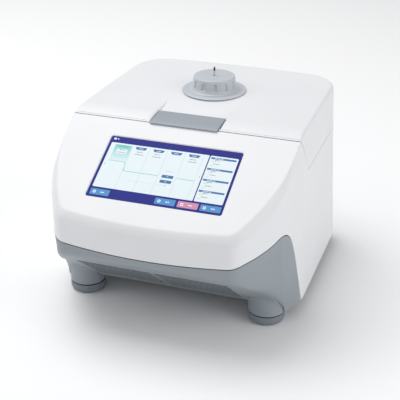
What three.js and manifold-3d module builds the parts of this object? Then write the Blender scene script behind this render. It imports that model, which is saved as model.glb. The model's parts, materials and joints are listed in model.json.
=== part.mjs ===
// A bench-top thermal cycler: a grey base and a white housing with a sloping touch screen, and a
// rear-hinged lid whose knob presses a heated plate onto a 96-well block.
//
// Millimetres. X is to the right, Y to the back and Z up. The origin is on the table, under the
// middle of the machine, so the front of the machine faces -Y.
import * as THREE from "three";
import { mergeVertices } from "three/addons/utils/BufferGeometryUtils.js";
import Module from "manifold-3d";

const wasm = await Module();
wasm.setup();

// ---------------------------------------------------------------- driving dimensions

const depth = 340;
const rearY = depth / 2;
const wall = 3;
const gap = 0.4;

// Outline of the sloping face, seen from above, carried on round the body as tangent arcs.
const shoulder = 6;
const faceFrontY = -depth / 2 + shoulder;
const faceHalfWidth = 137.7;
const frontRadius = 735;
const cornerRadius = 18;
const sideRadius = 218;
const sideArcY = -31;
const rearRadius = 38;

// Behind the face the side walls are faceHalfWidth wide at rimHeight, and lean in by sideDraft
// for each millimetre of height. Round the face they swell out by the shoulder just below its
// edge, and then drop straight down. The one form fades into the other from fadeStart to the lid.
// Behind sideArcY each side wall also runs in towards the back by rearTaper.
const rimHeight = 140.7;
const sideDraft = 0.048;
const rearTaper = 0.032;
const shoulderDepth = 14;
const fadeStart = -115;

// The sloping face, and the chin under it.
const lidFrontY = -38;
const lidFrontHeight = 206.5;
const faceSlope = THREE.MathUtils.degToRad(27.6);
const chinTop = { y: -164, z: 90.8 };
const chinFoot = { y: -72, z: 19 };
const chinSlope = Math.atan2(chinTop.z - chinFoot.z, chinFoot.y - chinTop.y);

// Heights of the stack, from the table up.
const footCapTop = 11;
const floorHeight = 19;
const hingeBayHeight = 154.5;
const lidSkirtHeight = 159.5;
const lidTop = 212;
const knobBase = 215;
const knobTop = 233;
const pinTop = 243;

const hinge = { y: rearY - 8, z: 164.5 };
const hingeBayY = hinge.y - 10;
const screen = { width: 154.1, height: 86, y: -99.2 };
const blockY = 67;
const blockTop = 163;
const wellPitch = 9;
const wellColumns = 12;
const wellRows = 8;
const fanX = 44;
const fanHeight = 95;
const latchHalfWidth = 40;
const latchPin = { y: -10, z: 205.6 };

// ---------------------------------------------------------------- materials

const paint = (colour, roughness, metalness = 0) =>
  new THREE.MeshStandardMaterial({ color: colour, roughness, metalness });

const whitePlastic = paint(0xeef0f2, 0.45);
const greyPlastic = paint(0x98a3a8, 0.5);
const palePlastic = paint(0xc4c8ca, 0.5);
const darkPlastic = paint(0x2b2e31, 0.6);
const rubber = paint(0x7e878b, 0.8);
const aluminium = paint(0xc9ccce, 0.35, 0.9);
const steel = paint(0xb6babd, 0.4, 0.95);
const screenGlass = paint(0x2a34a0, 0.1);
const circuitBoard = paint(0x1f6b46, 0.6);
const ceramic = paint(0xf4f2ea, 0.7);
const silicone = paint(0xb5542c, 0.8);

// ---------------------------------------------------------------- solids from three.js shapes

function toSolid(geometry) {
  const bare = geometry.index ? geometry.toNonIndexed() : geometry.clone();
  bare.deleteAttribute("normal");
  bare.deleteAttribute("uv");
  const merged = mergeVertices(bare, 1e-4);
  const vertProperties = merged.attributes.position.array;
  const triVerts = new Uint32Array(merged.index.array);
  return new wasm.Manifold(new wasm.Mesh({ numProp: 3, vertProperties, triVerts }));
}

function toGeometry(solid) {
  const mesh = solid.getMesh();
  const geometry = new THREE.BufferGeometry();
  const positions = new Float32Array(mesh.numVert * 3);
  for (let i = 0; i < mesh.numVert; i++) {
    const start = i * mesh.numProp;
    positions.set(mesh.vertProperties.subarray(start, start + 3), i * 3);
  }
  geometry.setAttribute("position", new THREE.BufferAttribute(positions, 3));
  geometry.setIndex(new THREE.BufferAttribute(mesh.triVerts, 1));
  return geometry;
}

function piece(name, solid, material) {
  const mesh = new THREE.Mesh(toGeometry(solid), material);
  mesh.name = name;
  return mesh;
}

// A block between two values on each axis.
function block([x0, x1], [y0, y1], [z0, z1]) {
  const box = new THREE.BoxGeometry(x1 - x0, y1 - y0, z1 - z0);
  box.translate((x0 + x1) / 2, (y0 + y1) / 2, (z0 + z1) / 2);
  return toSolid(box);
}

// A turned piece about the Z axis, from [radius, height] pairs that run up from the axis and
// back to it.
function turned(profile, sides = 32) {
  const points = profile.map(([radius, height]) => new THREE.Vector2(radius, height));
  const lathe = new THREE.LatheGeometry(points, sides);
  lathe.rotateX(Math.PI / 2);
  return toSolid(lathe);
}

function rod(radius, low, high, sides = 24) {
  return turned([[0, low], [radius, low], [radius, high], [0, high]], sides);
}

function ring(inner, outer, low, high, sides = 32) {
  return turned([[inner, low], [outer, low], [outer, high], [inner, high], [inner, low]], sides);
}

// A shape drawn in the side view (its x is Y, its y is Z) carried across the machine.
function acrossX(shape, x0 = -200, x1 = 200, curveSegments = 8) {
  const options = { depth: x1 - x0, bevelEnabled: false, curveSegments };
  const geometry = new THREE.ExtrudeGeometry(shape, options);
  const axes = [[0, 1, 0], [0, 0, 1], [1, 0, 0]].map((axis) => new THREE.Vector3(...axis));
  geometry.applyMatrix4(new THREE.Matrix4().makeBasis(...axes));
  geometry.translate(x0, 0, 0);
  return toSolid(geometry);
}

function sideView(points) {
  return new THREE.Shape(points.map(([y, z]) => new THREE.Vector2(y, z)));
}

function alongY(solid) {
  return solid.rotate([-90, 0, 0]);
}

function alongX(solid) {
  return solid.rotate([0, 90, 0]);
}

function joined(solids) {
  return solids.reduce((all, next) => all.add(next));
}

// ---------------------------------------------------------------- the body's outer form

const halfWidthAt = (height) => faceHalfWidth + (rimHeight - height) * sideDraft;
const faceHeightAt = (y) => lidFrontHeight + (y - lidFrontY) * Math.tan(faceSlope);
const chinHeightAt = (y) => chinTop.z - (y - chinTop.y) * Math.tan(chinSlope);

// Where two circles cross, on the front right side.
function cornerCentre(front, frontR, side, sideR) {
  const between = side.clone().sub(front);
  const distance = between.length();
  const along = (frontR ** 2 - sideR ** 2 + distance ** 2) / (2 * distance);
  const across = Math.sqrt(frontR ** 2 - along ** 2);
  const direction = between.normalize();
  const normal = new THREE.Vector2(-direction.y, direction.x);
  return front.clone().addScaledVector(direction, along).addScaledVector(normal, across);
}

function bodyPlan(inset) {
  const front = new THREE.Vector2(0, faceFrontY + frontRadius);
  const side = new THREE.Vector2(faceHalfWidth - sideRadius, sideArcY);
  const corner = cornerCentre(front, frontRadius - cornerRadius, side, sideRadius - cornerRadius);
  const frontEnd = corner.clone().sub(front).angle() - 2 * Math.PI;
  const sideStart = corner.clone().sub(side).angle() - 2 * Math.PI;
  const rearX = faceHalfWidth - rearRadius;
  const rearCentreY = rearY - rearRadius;
  const shape = new THREE.Shape();
  shape.absarc(0, front.y, frontRadius - inset, -Math.PI - frontEnd, frontEnd);
  shape.absarc(corner.x, corner.y, cornerRadius - inset, frontEnd, sideStart);
  shape.absarc(side.x, side.y, sideRadius - inset, sideStart, 0);
  shape.absarc(rearX, rearCentreY, rearRadius - inset, 0, Math.PI / 2);
  shape.absarc(-rearX, rearCentreY, rearRadius - inset, Math.PI / 2, Math.PI);
  shape.absarc(-side.x, side.y, sideRadius - inset, Math.PI, Math.PI - sideStart);
  shape.absarc(-corner.x, corner.y, cornerRadius - inset, Math.PI - sideStart, Math.PI - frontEnd);
  return shape;
}

// How high each ring of points round the body stands: two rings run round the shoulder, and one
// follows the edge of the face.
function ringHeight(ring, y, low, high) {
  const below = [0, shoulderDepth, shoulderDepth * 0.4, 0, -10][ring];
  const height = Math.min(faceHeightAt(y) - below, high - (rings - ring) * 0.5);
  return [low, height, height, height, height, high][ring];
}

const rings = 5;
const swellAt = [1, 1, 0.65, 0, 0, 0];

// Everything inside the outer skin, or inside a skin that is moved in by inset.
function bodyForm(inset, low, high) {
  const options = { depth: rings, steps: rings, bevelEnabled: false, curveSegments: 4 };
  const geometry = new THREE.ExtrudeGeometry(bodyPlan(inset), options);
  const place = geometry.attributes.position;
  for (let i = 0; i < place.count; i++) {
    const [x, y, ring] = [place.getX(i), place.getY(i), Math.round(place.getZ(i))];
    const height = ringHeight(ring, y, low, high);
    const forward = 1 - THREE.MathUtils.smoothstep(y, fadeStart, lidFrontY);
    const swell = shoulder * swellAt[ring] * forward;
    const draft = (halfWidthAt(height) / faceHalfWidth) ** (1 - forward);
    const taper = 1 - (rearTaper * Math.max(0, y - sideArcY)) / faceHalfWidth;
    const wide = x * draft * taper * (1 + swell / faceHalfWidth);
    const long = y + ((y - lidFrontY) * swell) / (lidFrontY - faceFrontY);
    place.setXYZ(i, wide, long, height);
  }
  return toSolid(geometry);
}

// The line between white and grey, in the side view: low along the front, up to a rounded peak on
// the side, then steeply down to the bottom edge. shift moves the whole line.
function colourLine(shape, shift) {
  const at = (y, z) => [y + shift, z + shift];
  shape.moveTo(...at(-173, 102));
  shape.bezierCurveTo(...at(-166, 105), ...at(-162, 109), ...at(-150, 110.3));
  shape.bezierCurveTo(...at(-132, 112.5), ...at(-120, 115), ...at(-108, 118));
  shape.bezierCurveTo(...at(-95, 121.5), ...at(-81, 118), ...at(-72, 103));
  shape.bezierCurveTo(...at(-62, 86), ...at(-55, 58), ...at(-44, floorHeight - 1));
}

// ---------------------------------------------------------------- base

function baseTray() {
  const skinShape = new THREE.Shape();
  colourLine(skinShape, -gap / 2);
  skinShape.lineTo(-50, floorHeight);
  skinShape.lineTo(chinFoot.y, chinFoot.z);
  skinShape.lineTo(-173, chinHeightAt(-173));
  const hollow = sideView([
    [chinFoot.y + 2, floorHeight + wall],
    [-20, floorHeight + wall],
    [-20, 200],
    [-200, 200],
    [-200, chinHeightAt(-200) + 3.8],
    [chinFoot.y - 3, chinHeightAt(chinFoot.y - 3) + 3.8],
  ]);
  const skin = bodyForm(0, 10, 130).intersect(acrossX(skinShape));
  const wedge = skin.subtract(bodyForm(wall, 5, 140).intersect(acrossX(hollow)));
  const floorLow = floorHeight + 0.2;
  const floorPlan = bodyForm(wall + gap, floorLow, floorLow + wall - gap);
  const floor = floorPlan.intersect(block([-200, 200], [-60, 200], [0, 60]));
  const rimRing = bodyForm(wall + gap, floorLow, 27).subtract(bodyForm(wall + gap + 2, 10, 50));
  const rim = rimRing.intersect(block([-200, 200], [-40, 200], [0, 60]));
  const grilleHole = grillePlate(gap, 40);
  return piece("base_tray", wedge.add(floor).add(rim).subtract(grilleHole), greyPlastic);
}

// The intake grille lies in the chin. Its own frame has x to the right, y up the slope and z out.
const grilleSize = { width: 180, length: 74 };
const grilleCentre = { y: (chinTop.y + chinFoot.y) / 2 + 1, z: (chinTop.z + chinFoot.z) / 2 };

function onChin(solid) {
  const turn = 180 - THREE.MathUtils.radToDeg(chinSlope);
  return solid.rotate([turn, 0, 0]).translate([0, grilleCentre.y, grilleCentre.z]);
}

function grillePlate(margin, thickness) {
  const halfWidth = grilleSize.width / 2 + margin;
  const halfLength = grilleSize.length / 2 + margin;
  const plate = [-halfWidth, halfWidth];
  return onChin(block(plate, [-halfLength, halfLength], [-thickness / 2, thickness / 2]));
}

function intakeGrille() {
  const ribs = 12;
  const pitch = grilleSize.length / ribs;
  const slots = [];
  for (let row = 0; row < ribs; row++) {
    const low = -grilleSize.length / 2 + pitch * (row + 0.28);
    for (const side of [-1, 1]) {
      const inner = side * 3;
      const outer = side * (grilleSize.width / 2 - 5);
      const across = [Math.min(inner, outer), Math.max(inner, outer)];
      slots.push(onChin(block(across, [low, low + pitch * 0.44], [-9, 9])));
    }
  }
  const plate = onChin(
    block(
      [-grilleSize.width / 2, grilleSize.width / 2],
      [-grilleSize.length / 2, grilleSize.length / 2],
      [-2.6, -0.4],
    ),
  );
  return piece("intake_grille", plate.subtract(joined(slots)), greyPlastic);
}

const feet = [
  { name: "front_left", x: -110.5, y: -70.5 },
  { name: "front_right", x: 110.5, y: -70.5 },
  { name: "rear_left", x: -105, y: 112 },
  { name: "rear_right", x: 105, y: 112 },
];

// A foot pod stands under the tray, and its top follows the chin and the floor.
function footPod({ name, x, y }) {
  const flare = [[0, footCapTop + gap], [20.7, footCapTop + gap], [23.2, 42], [0, 42]];
  const under = sideView([
    [-200, 0],
    [200, 0],
    [200, floorHeight - gap],
    [chinFoot.y, floorHeight - gap],
    [-200, chinHeightAt(-200) - gap],
  ]);
  const pod = turned(flare, 24).translate([x, y, 0]).intersect(acrossX(under));
  return piece(`foot_pod_${name}`, pod, greyPlastic);
}

function footCap({ name, x, y }) {
  const profile = [
    [0, 0],
    [17.4, 0],
    [19.4, 1.2],
    [20.4, 3.4],
    [20.7, footCapTop],
    [0, footCapTop],
  ];
  const cap = piece(`foot_cap_${name}`, turned(profile, 24), rubber);
  cap.position.set(x, y, 0);
  return cap;
}

// ---------------------------------------------------------------- housing and screen

const rearPanelSize = { halfWidth: 90, low: 27, high: 141 };

// The face's own frame has x to the right, y up the slope and z out, from the middle of the
// screen.

function onFace(solid) {
  const turn = THREE.MathUtils.radToDeg(faceSlope);
  return solid.rotate([turn, 0, 0]).translate([0, screen.y, faceHeightAt(screen.y)]);
}

function upperHousing() {
  const skinShape = new THREE.Shape();
  colourLine(skinShape, gap / 2);
  skinShape.lineTo(-44, floorHeight);
  skinShape.lineTo(180, floorHeight);
  skinShape.lineTo(180, hingeBayHeight);
  skinShape.lineTo(hingeBayY, hingeBayHeight);
  skinShape.lineTo(hingeBayY, lidSkirtHeight - gap);
  skinShape.lineTo(-0.5, lidSkirtHeight - gap);
  skinShape.quadraticCurveTo(-4.4, lidSkirtHeight - gap, -6.6, lidSkirtHeight + 4 - gap);
  skinShape.quadraticCurveTo(-17.4, 186 - gap, lidFrontY - gap, lidFrontHeight - gap);
  skinShape.lineTo(lidFrontY - gap, faceHeightAt(lidFrontY - gap));
  skinShape.lineTo(-173, faceHeightAt(-173));
  const skin = bodyForm(0, 10, 215).intersect(acrossX(skinShape));
  const faceDrop = wall / Math.cos(faceSlope);
  const frontHollow = new THREE.Shape();
  frontHollow.moveTo(-200, 0);
  frontHollow.lineTo(-9, 0);
  frontHollow.lineTo(-9, 156);
  frontHollow.quadraticCurveTo(-20, 184, -43, faceHeightAt(-43) - faceDrop);
  frontHollow.lineTo(-200, faceHeightAt(-200) - faceDrop);
  const rearHollow = sideView([[-9.5, 0], [200, 0], [200, 170], [-2, 170], [-2, 151], [-9.5, 151]]);
  const hollows = acrossX(frontHollow).add(acrossX(rearHollow));
  const shell = skin.subtract(bodyForm(wall, 5, 220).intersect(hollows));
  const windowHole = onFace(
    block(
      [-screen.width / 2 - 2, screen.width / 2 + 2],
      [-screen.height / 2 - 2, screen.height / 2 + 2],
      [-20, 10],
    ),
  );
  const panelHole = block(
    [-rearPanelSize.halfWidth, rearPanelSize.halfWidth],
    [rearY - 12, rearY + 10],
    [rearPanelSize.low, rearPanelSize.high],
  );
  return piece("upper_housing", shell.subtract(windowHole).subtract(panelHole), whitePlastic);
}

function displayWindow() {
  const halfWidth = screen.width / 2 + 2 - gap;
  const halfHeight = screen.height / 2 + 2 - gap;
  const glass = block([-halfWidth, halfWidth], [-halfHeight, halfHeight], [-2.6, -0.6]);
  return piece("display_window", onFace(glass), screenGlass);
}

function lcdPanel() {
  const panel = block([-82, 82], [-49, 49], [-9, -3.6]);
  return piece("lcd_panel", onFace(panel), darkPlastic);
}

function displayBoard() {
  const board = block([-78, 78], [-45, 45], [-16, -14.2]);
  const chips = [
    block([-30, 0], [-15, 15], [-19, -15.5]),
    block([20, 44], [-10, 8], [-18.5, -15.5]),
    block([-66, -46], [20, 40], [-21, -15.5]),
    block([-20, 20], [30, 42], [-14.5, -9.5]),
  ];
  return piece("display_board", onFace(board.add(joined(chips))), circuitBoard);
}

// ---------------------------------------------------------------- rear panel, fans and power entry

const inlet = { x: 40, z: 40, halfWidth: 14.5, halfHeight: 10.4 };
const fuse = { x: 68, z: 40, halfWidth: 6.5, halfHeight: 10.4 };
const rocker = { x: 14, z: 40, halfWidth: 6, halfHeight: 9.5 };

const ventRows = 9;
const ventPitch = 8;
const ventHalfWidth = 36;

function rearPanel() {
  const plate = block(
    [-rearPanelSize.halfWidth + gap, rearPanelSize.halfWidth - gap],
    [rearY - 3.4, rearY - 1.2],
    [rearPanelSize.low + gap, rearPanelSize.high - gap],
  );
  const cuts = [inlet, fuse, rocker].map(({ x, z, halfWidth, halfHeight }) =>
    block(
      [x - halfWidth - gap, x + halfWidth + gap],
      [rearY - 20, rearY + 10],
      [z - halfHeight - gap, z + halfHeight + gap],
    ),
  );
  // Each fan blows out through a square of level slots.
  for (const side of [-1, 1]) {
    for (let row = 0; row < ventRows; row++) {
      const z = fanHeight + (row - (ventRows - 1) / 2) * ventPitch;
      const across = [side * fanX - ventHalfWidth, side * fanX + ventHalfWidth];
      cuts.push(block(across, [rearY - 20, rearY + 10], [z - ventPitch / 4, z + ventPitch / 4]));
    }
  }
  return piece("rear_panel", plate.subtract(joined(cuts)), greyPlastic);
}

const fanDepth = 25;
const fanHalf = 40;
const fanFrontY = rearY - 5 - fanDepth;

function fanFrame(name, x) {
  const casing = block([-fanHalf, fanHalf], [-fanHalf, fanHalf], [0, fanDepth]);
  const bore = rod(38, -1, fanDepth + 1, 32);
  const boss = rod(17, fanDepth - 5, fanDepth, 20);
  const strut = block([-39, 39], [-2, 2], [fanDepth - 4, fanDepth]);
  const struts = strut.rotate([0, 0, 45]).add(strut.rotate([0, 0, -45]));
  const frame = piece(name, casing.subtract(bore).add(boss).add(struts), darkPlastic);
  frame.rotation.x = -Math.PI / 2;
  frame.position.set(x, fanFrontY, fanHeight);
  return frame;
}

function fanRotor(name, x) {
  const blades = 7;
  const hub = rod(17.5, 1, fanDepth - 6, 20);
  const blade = block([-1, 1], [15, 36], [-8, 8]).rotate([0, 38, 0]).translate([0, 0, 10]);
  const solids = [hub];
  for (let i = 0; i < blades; i++) {
    solids.push(blade.rotate([0, 0, (360 / blades) * i]));
  }
  const rotor = piece(name, joined(solids), darkPlastic);
  rotor.rotation.x = -Math.PI / 2;
  rotor.position.set(x, fanFrontY, fanHeight);
  return rotor;
}

function powerInlet() {
  const { x, z, halfWidth, halfHeight } = inlet;
  const inside = rearY - 22;
  const flange = block(
    [x - halfWidth - 2, x + halfWidth + 2],
    [rearY - 1.2 + gap, rearY],
    [z - halfHeight - 1, z + halfHeight + 1],
  );
  const housing = block(
    [x - halfWidth, x + halfWidth],
    [inside, rearY],
    [z - halfHeight, z + halfHeight],
  );
  const socket = block([x - 12.4, x + 12.4], [inside + 4, rearY + 1], [z - 8.4, z + 8.4]);
  const blades = [[-7, -2], [7, -2], [0, 2]].map(([dx, dz]) =>
    block([x + dx - 1, x + dx + 1], [inside + 2, rearY - 3], [z + dz - 2, z + dz + 2]),
  );
  const solid = flange.add(housing).subtract(socket).add(joined(blades));
  return piece("power_inlet", solid, darkPlastic);
}

function fuseDrawer() {
  const { x, z, halfWidth, halfHeight } = fuse;
  const tray = block(
    [x - halfWidth, x + halfWidth],
    [rearY - 26, rearY],
    [z - halfHeight, z + halfHeight],
  );
  const pocket = block([x - 4, x + 4], [rearY - 23, rearY - 4], [z - 7, z + 20]);
  const grip = block([x - 3, x + 3], [rearY - 1.4, rearY + 1], [z + 5, z + 8]);
  return piece("fuse_drawer", tray.subtract(pocket).subtract(grip), darkPlastic);
}

// The rocker is seen from behind: its outer face is a shallow vee, with the lower half pressed in.
function powerRocker() {
  const { x, z, halfWidth, halfHeight } = rocker;
  const profile = sideView([
    [rearY - 10, -halfHeight + 3],
    [rearY - 3, -halfHeight],
    [rearY - 3.4, 0],
    [rearY - 0.2, halfHeight - 1.2],
    [rearY - 9, halfHeight - 2.5],
  ]);
  const solid = acrossX(profile, x - halfWidth + 0.4, x + halfWidth - 0.4).translate([0, 0, z]);
  return piece("power_rocker", solid, darkPlastic);
}

// ---------------------------------------------------------------- chamber, block and cooling

const deckTop = 158.4;
const blockHalf = { x: 56, y: 38 };
const frameHalf = { x: 63, y: 45 };

function centredOn(y, [halfX, halfY], [low, high]) {
  return block([-halfX, halfX], [y - halfY, y + halfY], [low, high]);
}

function chamberDeck() {
  const plan = bodyForm(wall + gap, deckTop - 3, deckTop);
  const plate = plan.intersect(block([-200, 200], [-1.4, hingeBayY], [100, 200]));
  const hole = centredOn(blockY, [blockHalf.x + 2, blockHalf.y + 2], [100, 200]);
  return piece("chamber_deck", plate.subtract(hole), palePlastic);
}

function blockFrame() {
  const outer = centredOn(blockY, [frameHalf.x, frameHalf.y], [deckTop + gap, 161.6]);
  const inner = centredOn(blockY, [blockHalf.x + gap, blockHalf.y + gap], [100, 200]);
  return piece("block_frame", outer.subtract(inner), darkPlastic);
}

function sampleBlock() {
  const top = centredOn(blockY, [blockHalf.x, blockHalf.y], [145, blockTop]);
  const flange = centredOn(blockY, [62, 42], [141.5, 146]);
  const well = [[0, -14.5], [1.3, -14.5], [3.05, 0], [3.05, 1], [0, 1]];
  const tool = turned(well, 6);
  const wells = [];
  for (let column = 0; column < wellColumns; column++) {
    for (let row = 0; row < wellRows; row++) {
      const x = (column - (wellColumns - 1) / 2) * wellPitch;
      const y = blockY + (row - (wellRows - 1) / 2) * wellPitch;
      wells.push(tool.translate([x, y, blockTop]));
    }
  }
  const drilled = wells.reduce((solid, next) => solid.subtract(next), top.add(flange));
  return piece("sample_block", drilled, aluminium);
}

function peltierModules() {
  const size = 39.6;
  const group = new THREE.Group();
  let number = 1;
  for (const y of [-20.3, 20.3]) {
    for (const x of [-40.6, 0, 40.6]) {
      const square = [-size / 2, size / 2];
      const module = piece(`peltier_module_${number}`, block(square, square, [0, 3.6]), ceramic);
      module.position.set(x, blockY + y, 137.5);
      group.add(module);
      number += 1;
    }
  }
  return group;
}

function heatSink() {
  const fins = 18;
  const halfWidth = 72;
  const pitch = (2 * halfWidth - 2) / (fins - 1);
  const solids = [centredOn(blockY, [halfWidth, 54], [129, 137.1])];
  for (let i = 0; i < fins; i++) {
    const x = -halfWidth + pitch * i;
    solids.push(block([x, x + 2], [blockY - 54, blockY + 54], [76, 130]));
  }
  return piece("heat_sink", joined(solids), aluminium);
}

// ---------------------------------------------------------------- electronics

function powerSupply() {
  const can = block([-118, -14], [-58, 8], [24, 64]);
  const terminals = block([-110, -60], [7, 20], [24, 40]);
  return piece("power_supply", can.add(terminals), steel);
}

function mainBoard() {
  const board = block([0, 120], [-56, 118], [30, 31.8]);
  const parts = [
    block([10, 34], [-48, -20], [31, 44]),
    block([44, 66], [-40, -18], [31, 36]),
    block([80, 112], [-46, -6], [31, 54]),
    block([12, 60], [30, 56], [31, 48]),
    block([78, 108], [40, 66], [31, 40]),
    block([20, 44], [84, 108], [31, 46]),
  ];
  return piece("main_board", board.add(joined(parts)), circuitBoard);
}

// ---------------------------------------------------------------- hinge and strike

const hingeArms = [
  { name: "left", x: -74 },
  { name: "right", x: 74 },
];

function hingeBracket({ name, x }) {
  const eye = alongX(ring(2.3, 4.3, -5, 5, 20)).translate([x, hinge.y, hinge.z]);
  const postY = hinge.y - 19;
  const arm = block([x - 5, x + 5], [postY, hinge.y - 3], [hinge.z - 2, hinge.z + 2]);
  const post = block([x - 5, x + 5], [postY - 3, postY + 1], [deckTop + gap, hinge.z + 2]);
  const foot = block([x - 9, x + 9], [postY - 12, postY + 1], [deckTop + gap, deckTop + gap + 2]);
  return piece(`hinge_bracket_${name}`, joined([eye, arm, post, foot]), steel);
}

function hingePin() {
  const pin = alongX(rod(2, -90, 90, 16)).translate([0, hinge.y, hinge.z]);
  return piece("hinge_pin", pin, steel);
}

// The strike is a U-shaped bracket that stands out from the ramp behind the face.
function latchStrike() {
  const plate = block([-12, 12], [-18.2, -2.4], [184, 186]);
  const slot = block([-8.5, 8.5], [-40, -5.2], [170, 190]);
  return piece("latch_strike", plate.subtract(slot), steel);
}

// ---------------------------------------------------------------- lid

const latchPocket = { halfWidth: latchHalfWidth + 1.6, front: -45, rear: -4.6, floor: 202.8 };

function lidProfile() {
  const shape = new THREE.Shape();
  shape.moveTo(200, lidSkirtHeight + gap);
  shape.lineTo(200, lidTop - 5);
  shape.lineTo(rearY, lidTop - 5);
  shape.quadraticCurveTo(rearY, lidTop, rearY - 5, lidTop);
  shape.lineTo(-12, lidTop);
  shape.quadraticCurveTo(-24, lidTop, lidFrontY + gap, lidFrontHeight + gap);
  shape.quadraticCurveTo(-16.6, 186 + gap, -5.8, lidSkirtHeight + 4 + gap);
  shape.quadraticCurveTo(-3.6, lidSkirtHeight + gap, -0.1, lidSkirtHeight + gap);
  return shape;
}

function lidCover() {
  const skin = bodyForm(0, 150, 220).intersect(acrossX(lidProfile()));
  const hollow = new THREE.Shape();
  hollow.moveTo(200, 140);
  hollow.lineTo(200, lidTop - wall);
  hollow.lineTo(-14, lidTop - wall);
  hollow.quadraticCurveTo(-22, lidTop - wall, -31.5, 205.8);
  hollow.quadraticCurveTo(-12.4, 188, -1.6, lidSkirtHeight + 5);
  hollow.lineTo(-0.6, 140);
  const shell = skin.subtract(bodyForm(wall, 145, 215).intersect(acrossX(hollow)));
  const { halfWidth, front, rear, floor } = latchPocket;
  const well = block([-halfWidth - 2.5, halfWidth + 2.5], [-32, rear + 2.5], [floor - 2.5, lidTop - 1]);
  const pocket = block([-halfWidth, halfWidth], [front, rear], [floor, lidTop + 20]);
  const dish = block([-halfWidth, halfWidth], [rear - 1, 24], [lidTop - 1.4, lidTop + 20]);
  const hookSlot = block([-9, 9], [-19, -5], [floor - 10, floor + 10]);
  const strikeNotch = block([-15, 15], [-40, 2], [140, 198]);
  const spindleHole = rod(9, 190, 230, 24).translate([0, blockY, 0]);
  const cuts = [pocket, dish, hookSlot, strikeNotch, spindleHole];
  return piece("lid_cover", shell.add(well).subtract(joined(cuts)), whitePlastic);
}

// The pan closes the lid from below, around a well for the heated plate.
function lidPan() {
  const plan = bodyForm(wall + gap, 161, 163.4);
  const plate = plan.intersect(block([-200, 200], [3, 132], [100, 200]));
  const wellOuter = centredOn(blockY, [69, 51], [162, 196]);
  const wellInner = centredOn(blockY, [67, 49], [100, 230]);
  return piece("lid_pan", plate.add(wellOuter).subtract(wellInner), palePlastic);
}

const framePlate = { low: 203, high: 205 };
const guidePosts = [
  { name: "left", x: -46 },
  { name: "right", x: 46 },
];

function lidFrame() {
  const plate = block([-88, 88], [8, hinge.y - 6], [framePlate.low, framePlate.high]);
  const hole = rod(10.4, 190, 230, 24).translate([0, blockY, 0]);
  return piece("lid_frame", plate.subtract(hole), steel);
}

function hingeArm({ name, x }) {
  const side = Math.sign(x);
  const inner = x + side * 5.6;
  const outer = x + side * 9.6;
  const across = [Math.min(inner, outer), Math.max(inner, outer)];
  const profile = sideView([
    [hinge.y + 4, hinge.z - 1],
    [hinge.y + 3, framePlate.low - 14],
    [hinge.y - 8, framePlate.low - gap],
    [hinge.y - 46, framePlate.low - gap],
    [hinge.y - 46, framePlate.low - 10],
    [hinge.y - 6, hinge.z + 8],
    [hinge.y - 4, hinge.z - 2],
  ]);
  const eye = alongX(rod(4.3, -2, 2, 20)).translate([(inner + outer) / 2, hinge.y, hinge.z]);
  const bore = alongX(rod(2.4, -8, 8, 20)).translate([x + side * 7.6, hinge.y, hinge.z]);
  const arm = acrossX(profile, ...across).add(eye).subtract(bore);
  return piece(`hinge_arm_${name}`, arm, steel);
}

function knobCollar() {
  const profile = [
    [9, lidTop + gap],
    [38.3, lidTop + gap],
    [38.3, knobBase - 1],
    [36.5, knobBase - 0.3],
    [9, knobBase - 0.3],
    [9, lidTop + gap],
  ];
  const collar = piece("knob_collar", turned(profile, 36), palePlastic);
  collar.position.set(0, blockY, 0);
  return collar;
}

function spindleBush() {
  const profile = [[6.4, 201], [14, 201], [14, 202.6], [10, 202.6], [10, 208], [6.4, 208], [6.4, 201]];
  const bush = piece("spindle_bush", turned(profile, 16), aluminium);
  bush.position.set(0, blockY, 0);
  return bush;
}

function guidePost({ name, x }) {
  const post = piece(`guide_post_${name}`, rod(2.2, 186, framePlate.low - gap, 12), steel);
  post.position.set(x, blockY, 0);
  return post;
}

// ---------------------------------------------------------------- knob

function pressureKnob() {
  const flutes = 12;
  const lowRadius = 26.4;
  const highRadius = 24.3;
  const grip = turned(
    [
      [1.8, knobBase],
      [lowRadius + 5, knobBase],
      [lowRadius + 1.8, knobBase + 1.6],
      [lowRadius, knobBase + 4.4],
      [highRadius, knobTop - 2],
      [highRadius - 2, knobTop],
      [1.8, knobTop],
      [1.8, knobBase],
    ],
    36,
  );
  const flute = rod(2.2, knobBase + 5, knobTop + 5, 8);
  const cuts = [];
  for (let i = 0; i < flutes; i++) {
    const angle = ((i + 0.5) / flutes) * 2 * Math.PI;
    const reach = highRadius + 1.4;
    cuts.push(flute.translate([reach * Math.cos(angle), reach * Math.sin(angle), 0]));
  }
  const socket = rod(6.3, 190, knobBase + 8, 24);
  const knob = piece("pressure_knob", grip.subtract(joined(cuts)).subtract(socket), palePlastic);
  knob.position.set(0, blockY, 0);
  return knob;
}

function spindle() {
  const profile = [
    [1.7, 185],
    [5.6, 185],
    [5.9, 186],
    [5.9, knobBase + 7.6],
    [1.7, knobBase + 7.6],
    [1.7, 185],
  ];
  const screw = piece("spindle", turned(profile, 16), steel);
  screw.position.set(0, blockY, 0);
  return screw;
}

// ---------------------------------------------------------------- pressure plate

function carrierPlate() {
  const plate = block([-56, 56], [-16, 16], [192, 196]);
  const nut = rod(10, 188, 199, 16);
  const bore = rod(6.5, 180, 205, 16);
  const holes = guidePosts.map(({ x }) => rod(2.8, 180, 205, 12).translate([x, 0, 0]));
  const carrier = plate.add(nut).subtract(bore).subtract(joined(holes));
  const mesh = piece("carrier_plate", carrier, steel);
  mesh.position.set(0, blockY, 0);
  return mesh;
}

function heatedPlate() {
  return piece("heated_plate", centredOn(blockY, [61, 42], [174, 179]), aluminium);
}

function heaterMat() {
  return piece("heater_mat", centredOn(blockY, [56, 38], [179.3, 180.6]), silicone);
}

function plateCover() {
  const cover = centredOn(blockY, [61, 42], [180.9, 183]);
  return piece("plate_cover", cover, darkPlastic);
}

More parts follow.
